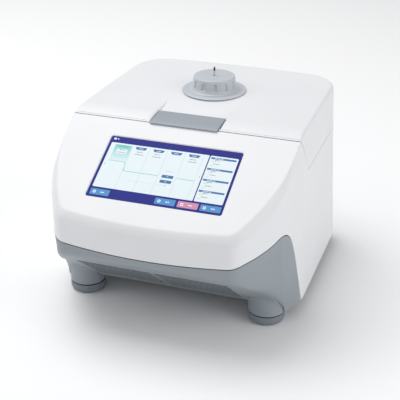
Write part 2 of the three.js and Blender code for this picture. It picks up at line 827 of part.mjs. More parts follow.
// The pin stands on the plate cover and reaches up through the hollow spindle and the knob.
function heightPin() {
  const profile = [
    [0, 183.3],
    [5, 183.3],
    [5, 184.4],
    [1.1, 184.6],
    [1.1, pinTop - 0.6],
    [0.6, pinTop],
    [0, pinTop],
  ];
  const pin = piece("height_pin", turned(profile, 12), steel);
  pin.position.set(0, blockY, 0);
  return pin;
}

class Coil extends THREE.Curve {
  constructor(radius, height, turns) {
    super();
    Object.assign(this, { radius, height, turns });
  }
  getPoint(t, target = new THREE.Vector3()) {
    const angle = 2 * Math.PI * this.turns * t;
    const x = this.radius * Math.cos(angle);
    const y = this.radius * Math.sin(angle);
    return target.set(x, y, this.height * t);
  }
}

// A round wire wound into a coil about the Z axis.
function coilSpring(radius, wire, height, turns) {
  const section = new THREE.Shape();
  section.absarc(0, 0, wire / 2, 0, 2 * Math.PI);
  const options = {
    steps: turns * 9,
    curveSegments: 3,
    bevelEnabled: false,
    extrudePath: new Coil(radius, height, turns),
  };
  return toSolid(new THREE.ExtrudeGeometry(section, options));
}

function plateSpring({ name, x }) {
  const wire = 1.2;
  const low = 183 + gap + wire / 2;
  const high = 192 - gap - wire / 2;
  const spring = piece(`plate_spring_${name}`, coilSpring(5, wire, high - low, 3), steel);
  spring.position.set(x, blockY, low);
  return spring;
}

// ---------------------------------------------------------------- latch

function latchTab() {
  const shape = new THREE.Shape();
  shape.moveTo(-41, 206);
  shape.lineTo(-41.4, 207.8);
  shape.quadraticCurveTo(-26, 211.9, -10, lidTop - 0.3);
  shape.lineTo(-6.4, lidTop - 0.5);
  shape.quadraticCurveTo(-5.8, 208, -6.4, 205);
  shape.lineTo(-12.6, 204.4);
  shape.quadraticCurveTo(-24, 207.6, -37, 207);
  const tab = acrossX(shape, -latchHalfWidth, latchHalfWidth, 5);
  const pinBore = alongX(rod(1.6, -60, 60, 12)).translate([0, latchPin.y, latchPin.z]);
  const hookArm = block([-7, 7], [-11.2, -8.4], [180, 204.8]);
  const hookNose = block([-7, 7], [-11.2, -6.2], [179.6, 182.6]);
  const springSlot = block([14, 27], [-14.5, -4], [200, 208.6]);
  const solid = tab.subtract(springSlot).add(hookArm).add(hookNose).subtract(pinBore);
  return piece("latch_tab", solid, greyPlastic);
}

function latchPinRod() {
  const pin = alongX(rod(1.2, -latchHalfWidth, latchHalfWidth, 12));
  return piece("latch_pin", pin.translate([0, latchPin.y, latchPin.z]), steel);
}

function latchSpring() {
  const wire = 0.7;
  const length = 9;
  const spring = piece("latch_spring", alongX(coilSpring(2, wire, length, 4)), steel);
  spring.position.set(16, latchPin.y, latchPin.z);
  return spring;
}

// ---------------------------------------------------------------- the whole machine

function group(...children) {
  return new THREE.Group().add(...children);
}

const base = group(
  baseTray(),
  intakeGrille(),
  ...feet.map(footPod),
  ...feet.map(footCap),
);
const housing = group(upperHousing(), displayWindow(), lcdPanel(), displayBoard());
const rear = group(
  rearPanel(),
  fanFrame("fan_frame_left", -fanX),
  fanFrame("fan_frame_right", fanX),
  fanRotor("fan_rotor_left", -fanX),
  fanRotor("fan_rotor_right", fanX),
  powerInlet(),
  fuseDrawer(),
  powerRocker(),
);
const chamber = group(
  chamberDeck(),
  blockFrame(),
  sampleBlock(),
  peltierModules(),
  heatSink(),
);
const electronics = group(powerSupply(), mainBoard());
const hingeParts = group(...hingeArms.map(hingeBracket), hingePin(), latchStrike());
const pressure = group(
  carrierPlate(),
  heatedPlate(),
  heaterMat(),
  plateCover(),
  heightPin(),
  ...guidePosts.map(plateSpring),
);
const knob = group(pressureKnob(), spindle());
const latch = group(latchTab(), latchPinRod(), latchSpring());
const lid = group(
  lidCover(),
  lidPan(),
  lidFrame(),
  ...hingeArms.map(hingeArm),
  knobCollar(),
  spindleBush(),
  ...guidePosts.map(guidePost),
  knob,
  pressure,
  latch,
);

export default group(base, housing, rear, chamber, electronics, hingeParts, lid);
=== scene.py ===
import json
import math

import bmesh
import bpy
import numpy as np
from mathutils import Matrix, Vector


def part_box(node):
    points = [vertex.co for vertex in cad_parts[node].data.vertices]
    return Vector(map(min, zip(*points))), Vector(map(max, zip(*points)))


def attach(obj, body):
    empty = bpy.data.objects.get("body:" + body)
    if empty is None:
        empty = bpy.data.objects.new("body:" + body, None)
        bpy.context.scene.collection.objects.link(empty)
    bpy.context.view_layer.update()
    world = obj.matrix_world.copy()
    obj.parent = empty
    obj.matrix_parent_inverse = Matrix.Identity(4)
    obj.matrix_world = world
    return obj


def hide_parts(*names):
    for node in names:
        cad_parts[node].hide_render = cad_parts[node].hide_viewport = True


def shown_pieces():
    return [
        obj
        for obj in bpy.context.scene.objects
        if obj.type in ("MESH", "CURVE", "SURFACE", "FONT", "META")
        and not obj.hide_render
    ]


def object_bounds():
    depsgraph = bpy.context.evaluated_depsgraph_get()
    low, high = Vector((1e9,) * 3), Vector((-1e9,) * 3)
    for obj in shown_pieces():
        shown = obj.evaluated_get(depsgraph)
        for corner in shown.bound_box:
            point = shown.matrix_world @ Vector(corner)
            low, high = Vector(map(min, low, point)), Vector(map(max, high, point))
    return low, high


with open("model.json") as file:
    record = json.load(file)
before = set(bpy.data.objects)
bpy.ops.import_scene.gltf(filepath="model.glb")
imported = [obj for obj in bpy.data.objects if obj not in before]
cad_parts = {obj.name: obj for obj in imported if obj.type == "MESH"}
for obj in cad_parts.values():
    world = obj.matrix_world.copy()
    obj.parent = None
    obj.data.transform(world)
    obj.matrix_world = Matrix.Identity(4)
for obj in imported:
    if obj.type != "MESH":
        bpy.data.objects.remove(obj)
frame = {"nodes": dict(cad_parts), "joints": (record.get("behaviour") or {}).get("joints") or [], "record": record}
cad_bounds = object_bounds()

MM = 0.001


def node_box(name):
    low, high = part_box(name)
    return np.array(low) / MM, np.array(high) / MM


def joint_place(name):
    joint = next(joint for joint in frame["joints"] if joint["name"] == name)
    return np.array(joint["pos_m"]) / MM


# ---------------- driving dimensions

REAR_Y = cad_bounds[1].y / MM
SHOULDER = 6.0
FACE_FRONT_Y = -REAR_Y + SHOULDER
FACE_HALF = 137.7
FRONT_RADIUS = 735.0
CORNER_RADIUS = 18.0
SIDE_RADIUS = 218.0
SIDE_ARC_Y = -31.0
REAR_RADIUS = 38.0
RIM_HEIGHT = 140.7
SIDE_DRAFT = 0.048
REAR_TAPER = 0.032
SHOULDER_DEPTH = 14.0
FADE_START = -115.0
LID_FRONT_Y = -38.0
LID_FRONT_HEIGHT = 206.5
FACE_SLOPE = math.radians(27.6)
CHIN_TOP = (-164.0, 90.8)
FLOOR_HEIGHT = 19.0
CHIN_FOOT = (-72.0, FLOOR_HEIGHT)
CHIN_HALF = 93.0
SKIRT_FOOT = 13.6
SKIRT_HEIGHT = 159.5
BAY_HEIGHT = 154.5
SHELL = 2.2
SEAM = 0.28
COLOUR_SEAM = 0.45

BAY_LENGTH = 10.0
BAY_Y = joint_place("lid_hinge")[1] - BAY_LENGTH
LID_TOP = node_box("lid_cover")[1][2]

# ---------------- meshes


SAME_POINT = 1e-6


def add_to_scene(name, data):
    thing = bpy.data.objects.new(name, data)
    bpy.context.scene.collection.objects.link(thing)
    return thing


def weigh_normals(piece):
    """Lets a piece's large faces decide its shading, so that flat faces stay flat to their edge."""
    weigh = piece.modifiers.new("normals", "WEIGHTED_NORMAL")
    weigh.keep_sharp = True


def face_outwards(piece, centre):
    """Turns an open skin's faces away from a point inside it."""
    mesh = piece.data
    inside = Vector(centre) * MM
    facing = sum(f.normal.dot(f.center - inside) * f.area for f in mesh.polygons)
    if facing < 0:
        mesh.flip_normals()


def thicken(piece):
    """Gives an open skin its wall, inwards, as real geometry."""
    solid = piece.modifiers.new("wall", "SOLIDIFY")
    solid.thickness = SHELL * MM
    solid.offset = -1
    graph = bpy.context.evaluated_depsgraph_get()
    mesh = bpy.data.meshes.new_from_object(piece.evaluated_get(graph))
    piece.modifiers.clear()
    piece.data = mesh
    mesh.set_sharp_from_angle(angle=math.radians(50))


class Sheets:
    """Collects grids of points into one mesh."""

    def __init__(self):
        self.points = []
        self.faces = []
        self.slots = []

    def add(self, points, faces, slot=0):
        start = len(self.points)
        self.points.extend(np.asarray(points, dtype=float).reshape(-1, 3))
        self.faces.extend(tuple(start + i for i in face) for face in faces)
        self.slots.extend([slot] * len(faces))

    def grid(self, rows, wrap=False, slot=0, keep=lambda row, column: True):
        """Faces between rows of points, each row closed on itself if wrap is true."""
        rows = np.asarray(rows, dtype=float)
        count, columns = rows.shape[:2]
        faces = []
        for row in range(count - 1):
            low, high = row * columns, (row + 1) * columns
            for column in range(columns if wrap else columns - 1):
                after = (column + 1) % columns
                if keep(row, column):
                    faces.append((low + column, low + after, high + after, high + column))
        self.add(rows, faces, slot)

    def box(self, low, high, edge=0.4, slot=0):
        """A block with chamfered edges."""
        low, high = np.array(low, float), np.array(high, float)
        edge = min(edge, 0.45 * float((high - low).min()))
        work = bmesh.new()
        bmesh.ops.create_cube(work, size=1.0)
        for vert in work.verts:
            vert.co = Vector((low + high) / 2 + np.array(vert.co) * (high - low))
        bmesh.ops.bevel(
            work, geom=work.edges[:], offset=edge, segments=2, affect="EDGES", profile=0.5
        )
        work.verts.index_update()
        points = [tuple(v.co) for v in work.verts]
        self.add(points, [[v.index for v in f.verts] for f in work.faces], slot)
        work.free()

    def lathe(self, profile, centre, sides=96, slot=0):
        """Turns (radius, height) pairs about a vertical axis."""
        angles = np.arange(sides) * 2 * math.pi / sides
        rows = [
            [(centre[0] + r * math.cos(a), centre[1] + r * math.sin(a), z) for a in angles]
            for r, z in profile
        ]
        self.grid(rows, wrap=True, slot=slot)

    def piece(self, name, materials, body, sharp=35.0):
        """Turns what was collected into a piece of the model, its slots numbering the materials."""
        mesh = bpy.data.meshes.new(name)
        mesh.from_pydata([tuple(np.asarray(p) * MM) for p in self.points], [], self.faces)
        mesh.polygons.foreach_set("material_index", np.array(self.slots, dtype=np.int32))
        work = bmesh.new()
        work.from_mesh(mesh)
        bmesh.ops.remove_doubles(work, verts=work.verts, dist=SAME_POINT)
        bmesh.ops.dissolve_degenerate(work, edges=work.edges, dist=SAME_POINT)
        bmesh.ops.recalc_face_normals(work, faces=work.faces)
        work.to_mesh(mesh)
        work.free()
        mesh.polygons.foreach_set("use_smooth", [True] * len(mesh.polygons))
        mesh.set_sharp_from_angle(angle=math.radians(sharp))
        for material in materials:
            mesh.materials.append(material)
        piece = add_to_scene(name, mesh)
        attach(piece, body)
        return piece


def arc(centre, radius, start, end, steps):
    """Points of a circular arc in a (radius, height) profile, angles in degrees."""
    angles = np.radians(np.linspace(start, end, steps + 1))
    return [(centre[0] + radius * math.cos(a), centre[1] + radius * math.sin(a)) for a in angles]


def bezier(*controls, steps):
    """A smooth curve on two, three or four control points."""
    t = np.linspace(0, 1, steps + 1)[:, None]
    level = [np.array(control, dtype=float)[None, :] for control in controls]
    while len(level) > 1:
        level = [a * (1 - t) + b * t for a, b in zip(level, level[1:])]
    return level[0]


def smoothstep(low, high, value):
    t = np.clip((np.asarray(value, dtype=float) - low) / (high - low), 0, 1)
    return t * t * (3 - 2 * t)


# ---------------- the body's outer form


def face_height(y):
    return LID_FRONT_HEIGHT + (np.asarray(y) - LID_FRONT_Y) * math.tan(FACE_SLOPE)


CHIN_SLOPE = math.atan2(CHIN_TOP[1] - CHIN_FOOT[1], CHIN_FOOT[0] - CHIN_TOP[0])


def chin_height(y):
    return CHIN_TOP[1] - (np.asarray(y) - CHIN_TOP[0]) * math.tan(CHIN_SLOPE)


class Plan:
    """The right half of the outline seen from above, from the front centre to the rear centre:
    an arc across the front, a small corner arc, a long side arc, a straight side, a rear corner
    and a straight rear."""

    def __init__(self, front_x, side_y, rear_x=(0,)):
        corner_steps, rear_steps = 10, 14
        front = np.array([0, FACE_FRONT_Y + FRONT_RADIUS])
        side = np.array([FACE_HALF - SIDE_RADIUS, SIDE_ARC_Y])
        corner = self.corner_centre(front, side)
        front_angle = math.atan2(corner[1] - front[1], corner[0] - front[0])
        side_angle = math.atan2(corner[1] - side[1], corner[0] - side[0])
        points, normals = [], []

        def put(centre, radius, angle):
            normal = np.array([math.cos(angle), math.sin(angle)])
            points.append(centre + radius * normal)
            normals.append(normal)

        last_x = FRONT_RADIUS * math.cos(front_angle)
        for x in [x for x in front_x if x < last_x - 1] + [last_x]:
            put(front, FRONT_RADIUS, -math.pi / 2 + math.asin(x / FRONT_RADIUS))
        for angle in np.linspace(front_angle, side_angle, corner_steps + 1)[1:]:
            put(corner, CORNER_RADIUS, angle)
        first_y = side[1] + SIDE_RADIUS * math.sin(side_angle)
        rear_start = REAR_Y - REAR_RADIUS
        for y in side_y:
            if first_y + 0.5 < y <= SIDE_ARC_Y:
                put(side, SIDE_RADIUS, math.asin((y - side[1]) / SIDE_RADIUS))
            elif SIDE_ARC_Y < y < rear_start - 0.5:
                put(np.array([FACE_HALF - 1.0, y]), 1.0, 0.0)
        rear = np.array([FACE_HALF - REAR_RADIUS, rear_start])
        angles = set(np.linspace(0, math.pi / 2, rear_steps + 1))
        angles |= {math.asin((y - rear_start) / REAR_RADIUS) for y in side_y if y > rear_start}
        for angle in sorted(angles):
            put(rear, REAR_RADIUS, angle)
        for x in sorted(rear_x, reverse=True):
            put(np.array([x, REAR_Y - 1.0]), 1.0, math.pi / 2)
        self.points = np.array(points)
        self.normals = np.array(normals)

    @staticmethod
    def corner_centre(front, side):
        reach = FRONT_RADIUS - CORNER_RADIUS
        between = side - front
        distance = np.linalg.norm(between)
        along = (reach**2 - (SIDE_RADIUS - CORNER_RADIUS) ** 2 + distance**2) / (2 * distance)
        direction = between / distance
        across = np.array([-direction[1], direction[0]])
        return front + direction * along + across * math.sqrt(reach**2 - along**2)


    def only(self, keep):
        """Leaves out the places where keep is false."""
        self.points, self.normals = self.points[keep], self.normals[keep]

    def skin(self, height, inset=0.0):
        """Points of the outer skin above the plan, at the given heights, moved in by inset."""
        px, py = (self.points - self.normals * np.reshape(inset, (-1, 1))).T
        forward = 1 - smoothstep(FADE_START, LID_FRONT_Y, py)
        depth = np.clip((face_height(py) - height) / SHOULDER_DEPTH, 0, 1)
        swell = SHOULDER * (1 - (1 - depth) ** 2) * forward
        half_width = FACE_HALF + (RIM_HEIGHT - height) * SIDE_DRAFT
        draft = (half_width / FACE_HALF) ** (1 - forward)
        taper = 1 - REAR_TAPER * np.maximum(0, py - SIDE_ARC_Y) / FACE_HALF
        x = px * draft * taper * (1 + swell / FACE_HALF)
        y = py + (py - LID_FRONT_Y) * swell / (LID_FRONT_Y - FACE_FRONT_Y)
        return np.stack([x, y, np.broadcast_to(height, x.shape)], axis=1)

    def crossing(self, curve):
        """The height at which a line drawn in the side view crosses the skin above each place."""
        height = curve_height(curve, self.points[:, 1])
        for _ in range(5):
            height = curve_height(curve, self.skin(height)[:, 1])
        return height

    def wall(self, bottom, top, fractions):
        return np.array([self.skin(bottom + (top - bottom) * f) for f in fractions])

    def lip(self, height, edge, up=1):
        """Rows round an edge at height, from edge inside the skin to edge above it (or below)."""
        return rounded_rows(
            self.skin(height, edge), self.skin(height), self.skin(height + up * edge), 3
        )


def curve_height(curve, y):
    return np.interp(y, curve[:, 0], curve[:, 1])


def side_curve(*beziers):
    return np.concatenate([bezier(*controls, steps=24) for controls in beziers])


# The line between white and grey, in the side view.
COLOUR_LINE = side_curve(
    ((-173, 102), (-166, 105), (-162, 109), (-150, 110.3)),
    ((-150, 110.3), (-132, 112.5), (-120, 115), (-108, 118)),
    ((-108, 118), (-95, 121.5), (-81, 118), (-72, 103)),
    ((-72, 103), (-62, 86), (-54, 55), (-42.5, SKIRT_FOOT - 1)),
)

# The line between the lid and the housing: down a ramp behind the face, then level to the rear.
LID_LINE = side_curve(
    ((LID_FRONT_Y, LID_FRONT_HEIGHT), (-17, 186), (-6.2, SKIRT_HEIGHT + 4)),
    ((-6.2, SKIRT_HEIGHT + 4), (-4, SKIRT_HEIGHT), (-0.3, SKIRT_HEIGHT)),
    ((-0.3, SKIRT_HEIGHT), (300, SKIRT_HEIGHT)),
)

SIDE_ROWS = np.unique(
    np.concatenate(
        [
            np.linspace(-146, -112, 12),
            np.linspace(-112, -44, 62),
            np.linspace(-44, 0, 34),
            [LID_FRONT_Y, -0.3, BAY_Y - 0.05, BAY_Y + 0.05],
            np.linspace(0, REAR_Y - REAR_RADIUS, 24),
        ]
    )
)


def mirrored(points):
    return np.asarray(points) * np.array([-1, 1, 1])


def round_the_front(rows):
    """Puts the left half's columns before rows that start at the middle."""
    rows = np.asarray(rows)
    return np.concatenate([mirrored(rows)[:, :0:-1], rows], axis=1)


def round_the_rear(rows):
    """Puts the left half's columns after rows that end at the middle."""
    return np.concatenate([rows, mirrored(rows)[:, -2::-1]], axis=1)


def rounded_rows(low_point, corner, high_point, steps):
    """Rows of points that turn a corner smoothly."""
    t = np.linspace(0, 1, steps + 1)[:, None, None]
    low, mid, high = (np.asarray(p)[None] for p in (low_point, corner, high_point))
    return low * (1 - t) ** 2 + mid * 2 * t * (1 - t) + high * t**2


def fill_between(outline, holes=()):
    """A flat sheet inside a closed outline, round closed holes."""
    work = bmesh.new()
    for loop in (outline, *holes):
        verts = [work.verts.new(tuple(p)) for p in loop]
        for a, b in zip(verts, verts[1:] + verts[:1]):
            work.edges.new((a, b))
    bmesh.ops.triangle_fill(work, edges=work.edges[:], use_beauty=True)
    work.verts.index_update()
    points = [tuple(v.co) for v in work.verts]
    faces = [[v.index for v in f.verts] for f in work.faces]
    work.free()
    return points, faces


def rounded_rectangle(half_width, half_height, radius, steps=6):
    corners = [(1, 1, 0), (-1, 1, 90), (-1, -1, 180), (1, -1, 270)]
    points = []
    for sx, sy, start in corners:
        centre = (sx * (half_width - radius), sy * (half_height - radius))
        points += arc(centre, radius, start, start + 90, steps)
    return points


# ---------------- places on the sloping face

SCREEN_CENTRE_Y = -99.2
SCREEN_HALF = (77.05, 43.0)


def on_face(u, v, out=0.0):
    """A point on the face: u to the right and v up the slope from the screen's middle."""
    y = SCREEN_CENTRE_Y + v * math.cos(FACE_SLOPE) - out * math.sin(FACE_SLOPE)
    z = face_height(SCREEN_CENTRE_Y) + v * math.sin(FACE_SLOPE) + out * math.cos(FACE_SLOPE)
    return (u, y, z)


# ---------------- materials


class Shader:
    """A Principled material with a few helpers for building its procedural inputs."""

    def __init__(self, name, colour, roughness, metallic=0.0):
        self.material = bpy.data.materials.new(name)
        self.material.use_nodes = True
        self.tree = self.material.node_tree
        self.surface = self.tree.nodes["Principled BSDF"]
        self.colour = (*colour, 1.0)
        self.set("Base Color", self.colour)
        self.set("Roughness", roughness)
        self.set("Metallic", metallic)
        self.place = self.tree.nodes.new("ShaderNodeTexCoord").outputs["Object"]

    def set(self, socket, value):
        self.surface.inputs[socket].default_value = value

    def link(self, output, socket):
        self.tree.links.new(output, self.surface.inputs[socket])

    def node(self, kind, inputs=None, **settings):
        node = self.tree.nodes.new(kind)
        for key, value in settings.items():
            setattr(node, key, value)
        for key, value in (inputs or {}).items():
            if isinstance(value, bpy.types.NodeSocket):
                self.tree.links.new(value, node.inputs[key])
            else:
                node.inputs[key].default_value = value
        return node

    def stretched(self, scale):
        return self.node("ShaderNodeMapping", {"Vector": self.place, "Scale": scale}).outputs[0]

    def noise(self, size_mm, detail=3.0, vector=None):
        """Noise whose features are about size_mm across."""
        inputs = {"Vector": vector or self.place, "Scale": 1 / (size_mm * MM), "Detail": detail}
        return self.node("ShaderNodeTexNoise", inputs).outputs["Fac"]

    def spread(self, value, low, high):
        inputs = {"Value": value, "To Min": low, "To Max": high, "From Min": 0.3, "From Max": 0.7}
        return self.node("ShaderNodeMapRange", inputs).outputs["Result"]

    def blend(self, share, start, end):
        """A blend of two colours. These are the colour sockets among the Mix node's many."""
        factor, first, second, result = 0, 6, 7, 2
        mix = self.node("ShaderNodeMix", data_type="RGBA")
        mix.inputs[first].default_value = (*start, 1.0)
        mix.inputs[second].default_value = (*end, 1.0)
        self.tree.links.new(share, mix.inputs[factor])
        return mix.outputs[result]

    def vary_colour(self, value, amount):
        """Makes the colour a little darker and lighter with a noise value."""
        dark = [c * (1 - amount) for c in self.colour[:3]]
        light = [min(1.0, c * (1 + amount)) for c in self.colour[:3]]
        self.link(self.blend(self.spread(value, 0.0, 1.0), dark, light), "Base Color")

    def bump(self, *layers):
        """Adds bump layers of (height value, depth in mm)."""
        normal = None
        for height, depth_mm in layers:
            inputs = {"Height": height, "Distance": depth_mm * MM, "Strength": 1.0}
            if normal is not None:
                inputs["Normal"] = normal
            normal = self.node("ShaderNodeBump", inputs).outputs["Normal"]
        self.link(normal, "Normal")


def moulded_plastic(name, colour, roughness, grain_mm=0.5, depth_mm=0.006):
    """Injection-moulded plastic with a fine spark-eroded texture and a faint large-scale mottle."""
    shader = Shader(name, colour, roughness)
    grain = shader.noise(grain_mm, detail=2.0)
    mottle = shader.noise(60.0, detail=2.0)
    shader.vary_colour(mottle, 0.012)
    shader.link(shader.spread(grain, roughness - 0.05, roughness + 0.05), "Roughness")
    shader.bump((grain, depth_mm), (shader.noise(25.0, detail=1.0), 0.01))
    shader.set("IOR", 1.47)
    return shader.material


def painted_shade_sheet(name, colour):
    """A near-black sheet of painted shade: fine pores and no sheen at all."""
    shader = Shader(name, colour, 1.0)
    shader.set("Specular IOR Level", 0.0)
    shader.bump((shader.noise(1.5), 0.3))
    return shader.material


def rubber(name, colour):
    shader = Shader(name, colour, 0.62)
    grain = shader.noise(0.8, detail=4.0)
    shader.vary_colour(shader.noise(9.0), 0.05)
    shader.link(shader.spread(grain, 0.55, 0.75), "Roughness")
    shader.bump((grain, 0.02))
    return shader.material


def brushed_metal(name, colour, roughness=0.32, along=(1, 60, 60)):
    """Metal with fine drawn lines along one axis."""
    shader = Shader(name, colour, roughness, metallic=1.0)
    lines = shader.noise(14.0, detail=6.0, vector=shader.stretched(along))
    shader.vary_colour(shader.noise(18.0), 0.04)
    shader.link(shader.spread(lines, roughness - 0.08, roughness + 0.1), "Roughness")
    shader.bump((lines, 0.004))
    return shader.material


def machined_metal(name, colour, roughness=0.28):
    """Milled aluminium with a fine swirl left by the cutter."""
    shader = Shader(name, colour, roughness, metallic=1.0)
    inputs = {"Vector": shader.place, "Scale": 900.0, "Distortion": 2.0, "Detail": 3.0}
    rings = shader.node("ShaderNodeTexWave", inputs, wave_type="RINGS").outputs["Fac"]
    shader.vary_colour(shader.noise(12.0), 0.03)
    shader.link(shader.spread(shader.noise(2.0), roughness - 0.05, roughness + 0.08), "Roughness")
    shader.bump((rings, 0.002))
    return shader.material


def circuit_board():
    """Green solder mask with a grid of lighter tracks."""
    shader = Shader("circuit_board", (0.02, 0.16, 0.08), 0.35)
    inputs = {"Vector": shader.place, "Scale": 260.0, "Mortar Size": 0.04, "Brick Width": 1.3}
    tracks = shader.node("ShaderNodeTexBrick", inputs)
    tracks.inputs["Color1"].default_value = (0.02, 0.16, 0.08, 1)
    tracks.inputs["Color2"].default_value = (0.025, 0.19, 0.10, 1)
    tracks.inputs["Mortar"].default_value = (0.10, 0.36, 0.18, 1)
    shader.link(tracks.outputs["Color"], "Base Color")
    shader.bump((tracks.outputs["Fac"], 0.03))
    return shader.material


def ceramic():
    shader = Shader("ceramic", (0.82, 0.81, 0.76), 0.6)
    grain = shader.noise(0.6, detail=5.0)
    shader.vary_colour(grain, 0.03)
    shader.bump((grain, 0.01))
    return shader.material


def heater_silicone():
    """Woven-faced silicone."""
    shader = Shader("heater_silicone", (0.42, 0.11, 0.04), 0.6)
    inputs = {"Vector": shader.place, "Scale": 500.0}
    weave = shader.node("ShaderNodeTexWave", inputs).outputs["Fac"]
    shader.vary_colour(weave, 0.1)
    shader.bump((weave, 0.03))
    return shader.material


def display_pixels(name, colour, glow, fade=None):
    """One colour of the lit display, behind glossy glass: a fine pixel grid over the colour.
    fade is (other colour, from y, to y), a blend along the face."""
    shader = Shader(name, colour, 0.22)
    grid = shader.noise(0.35, detail=0.0)
    if fade is None:
        shader.vary_colour(grid, 0.03)
        shader.set("Emission Color", (*colour, 1.0))
    else:
        other, start, end = fade
        across = shader.node("ShaderNodeSeparateXYZ", {"Vector": shader.place}).outputs["Y"]
        inputs = {"Value": across, "From Min": start * MM, "From Max": end * MM}
        share = shader.node("ShaderNodeMapRange", inputs).outputs["Result"]
        blended = shader.blend(share, colour, other)
        shader.link(blended, "Base Color")
        shader.link(blended, "Emission Color")
    shader.set("Emission Strength", glow)
    shader.set("Specular IOR Level", 0.12)
    shader.bump((grid, 0.001))
    return shader.material


WHITE = moulded_plastic("shell_white", (0.80, 0.81, 0.825), 0.42)
GREY = moulded_plastic("base_grey", (0.300, 0.335, 0.365), 0.46)
LATCH_GREY = moulded_plastic("latch_grey", (0.335, 0.365, 0.405), 0.40)
KNOB_GREY = moulded_plastic("knob_grey", (0.53, 0.56, 0.60), 0.33)
INNER_GREY = moulded_plastic("inner_grey", (0.52, 0.54, 0.56), 0.5, grain_mm=0.8)
DARK = moulded_plastic("dark_plastic", (0.022, 0.023, 0.026), 0.45, grain_mm=0.7, depth_mm=0.012)
FOOT_RUBBER = rubber("foot_rubber", (0.22, 0.245, 0.28))
# The near-black sheet behind the grille's slats is painted shade.
SLAT_SHADE = painted_shade_sheet("painted_shade_sheet", (0.012, 0.013, 0.015))
STEEL = brushed_metal("steel", (0.56, 0.57, 0.58))
PIN_STEEL = brushed_metal("pin_steel", (0.16, 0.17, 0.19), 0.3, along=(60, 60, 1))
ALUMINIUM = machined_metal("aluminium", (0.74, 0.75, 0.76))
SUPPLY_CASE = brushed_metal("supply_case", (0.62, 0.63, 0.64), 0.4)
BOARD = circuit_board()
CERAMIC = ceramic()
SILICONE = heater_silicone()
DISPLAY_CAN = moulded_plastic("display_can", (0.06, 0.06, 0.065), 0.5)

# ---------------- white housing

GRILLE_HALF = 90.4
FRONT_X = sorted(set(np.linspace(0, 126, 43)) | {GRILLE_HALF, GRILLE_HALF + 1.2})
PANEL_HALF, PANEL_LOW, PANEL_HIGH = 90.0, 27.0, 141.0
BELOW_PANEL, PANEL_ROWS, ABOVE_PANEL = 3, 21, 5
EVEN_ROWS, SHOULDER_ROWS = 20, 9
LOW_LIP = 0.5


def wall_fractions(low, high, rear_weight):
    """Where the rows of a wall stand: close together under the shoulder, and at the edges of the
    rear panel behind."""
    height = high - low
    shoulder = np.minimum(16.0 / height, 0.5)
    rows = [(1 - shoulder) * i / EVEN_ROWS for i in range(EVEN_ROWS)]
    rows += [1 - shoulder * (1 - i / SHOULDER_ROWS) ** 1.6 for i in range(SHOULDER_ROWS + 1)]
    panel_low = (PANEL_LOW - low) / height
    panel_high = (PANEL_HIGH - low) / height
    rear = [panel_low * i / BELOW_PANEL for i in range(BELOW_PANEL)]
    rear += [panel_low + (panel_high - panel_low) * i / PANEL_ROWS for i in range(PANEL_ROWS)]
    rear += [panel_high + (1 - panel_high) * i / ABOVE_PANEL for i in range(ABOVE_PANEL + 1)]
    return [a * (1 - rear_weight) + b * rear_weight for a, b in zip(rows, rear)]


def upper_housing():
    plan = Plan(FRONT_X, SIDE_ROWS, rear_x=[PANEL_HALF, *np.linspace(0, 80, 9)])
    y = plan.points[:, 1]
    low = np.maximum(plan.crossing(COLOUR_LINE) + COLOUR_SEAM, SKIRT_FOOT)
    on_rim = y > LID_FRONT_Y - SEAM
    high = np.where(on_rim, curve_height(LID_LINE - SEAM, y), face_height(y))
    high = np.where(y > BAY_Y, BAY_HEIGHT, high)
    edge = np.where(on_rim, 0.4, 1.2)
    inset = plan.points - plan.normals * edge[:, None]
    top_height = np.where(on_rim, high, face_height(inset[:, 1]))
    bottom, top = low + LOW_LIP, high - edge
    fractions = wall_fractions(bottom, top, smoothstep(0.3, 0.97, plan.normals[:, 1]))
    lip = plan.lip(low, LOW_LIP)
    over = rounded_rows(plan.skin(top), plan.skin(high), plan.skin(top_height, edge), 4)
    rows = np.concatenate([lip[:-1], plan.wall(bottom, top, fractions), over[1:]])
    rear_wall = REAR_Y - 1.5
    rows[:, (plan.points[:, 0] == PANEL_HALF) & (y > rear_wall), 0] = PANEL_HALF

    sheets = Sheets()
    ring = round_the_rear(rows)[:, :-1]
    first_row = len(lip) - 1
    columns = ring.shape[1]

    def beside_panel(row, column):
        across = [ring[first_row, c % columns] for c in (column, column + 1)]
        behind = all(p[1] > rear_wall and abs(p[0]) < PANEL_HALF + 0.5 for p in across)
        return not (behind and 0 <= row - first_row - BELOW_PANEL < PANEL_ROWS)

    sheets.grid(ring, wrap=True, keep=beside_panel)

    # The ramp behind the face, from side to side.
    top = rows[-1]
    start = max(i for i in range(len(y)) if y[i] <= LID_FRONT_Y - SEAM)
    ramp = [i for i in range(start, len(y)) if y[i] < 0]
    across = np.hstack([np.linspace(-1, 1, 17)[:, None], np.ones((17, 2))])
    sheets.grid(np.array([top[i] * across for i in ramp]))

    # The sloping face, round the window's chamfered recess.
    right = top[: start + 1]
    within = plan.skin(face_height(y), 2.4)[: start + 1]
    within[:, 2] = face_height(within[:, 1])
    within[-1] = [within[-1][0], right[-1][1], right[-1][2]]
    sheets.grid(round_the_front([right, within]))
    back = [within[-1] * f for f in across[::-1][1:-1]]
    outline = list(within) + back + list(mirrored(within)[::-1][:-1])
    loops = []
    for grow, out in ((2.6, 0), (1.7, 0), (1.1, -0.12), (0.45, -0.75), (0.3, -1.1), (0.3, -3.2)):
        shape = rounded_rectangle(SCREEN_HALF[0] + grow, SCREEN_HALF[1] + grow, 2.0 + grow)
        loops.append([on_face(u, v, out) for u, v in shape])
    sheets.add(*fill_between(outline, [loops[0]]))
    sheets.grid(np.array(loops), wrap=True)
    piece = sheets.piece("housing_shell", [WHITE], "machine")
    face_outwards(piece, (0, 20, 90))
    thicken(piece)
    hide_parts("upper_housing")


# ---------------- grey base

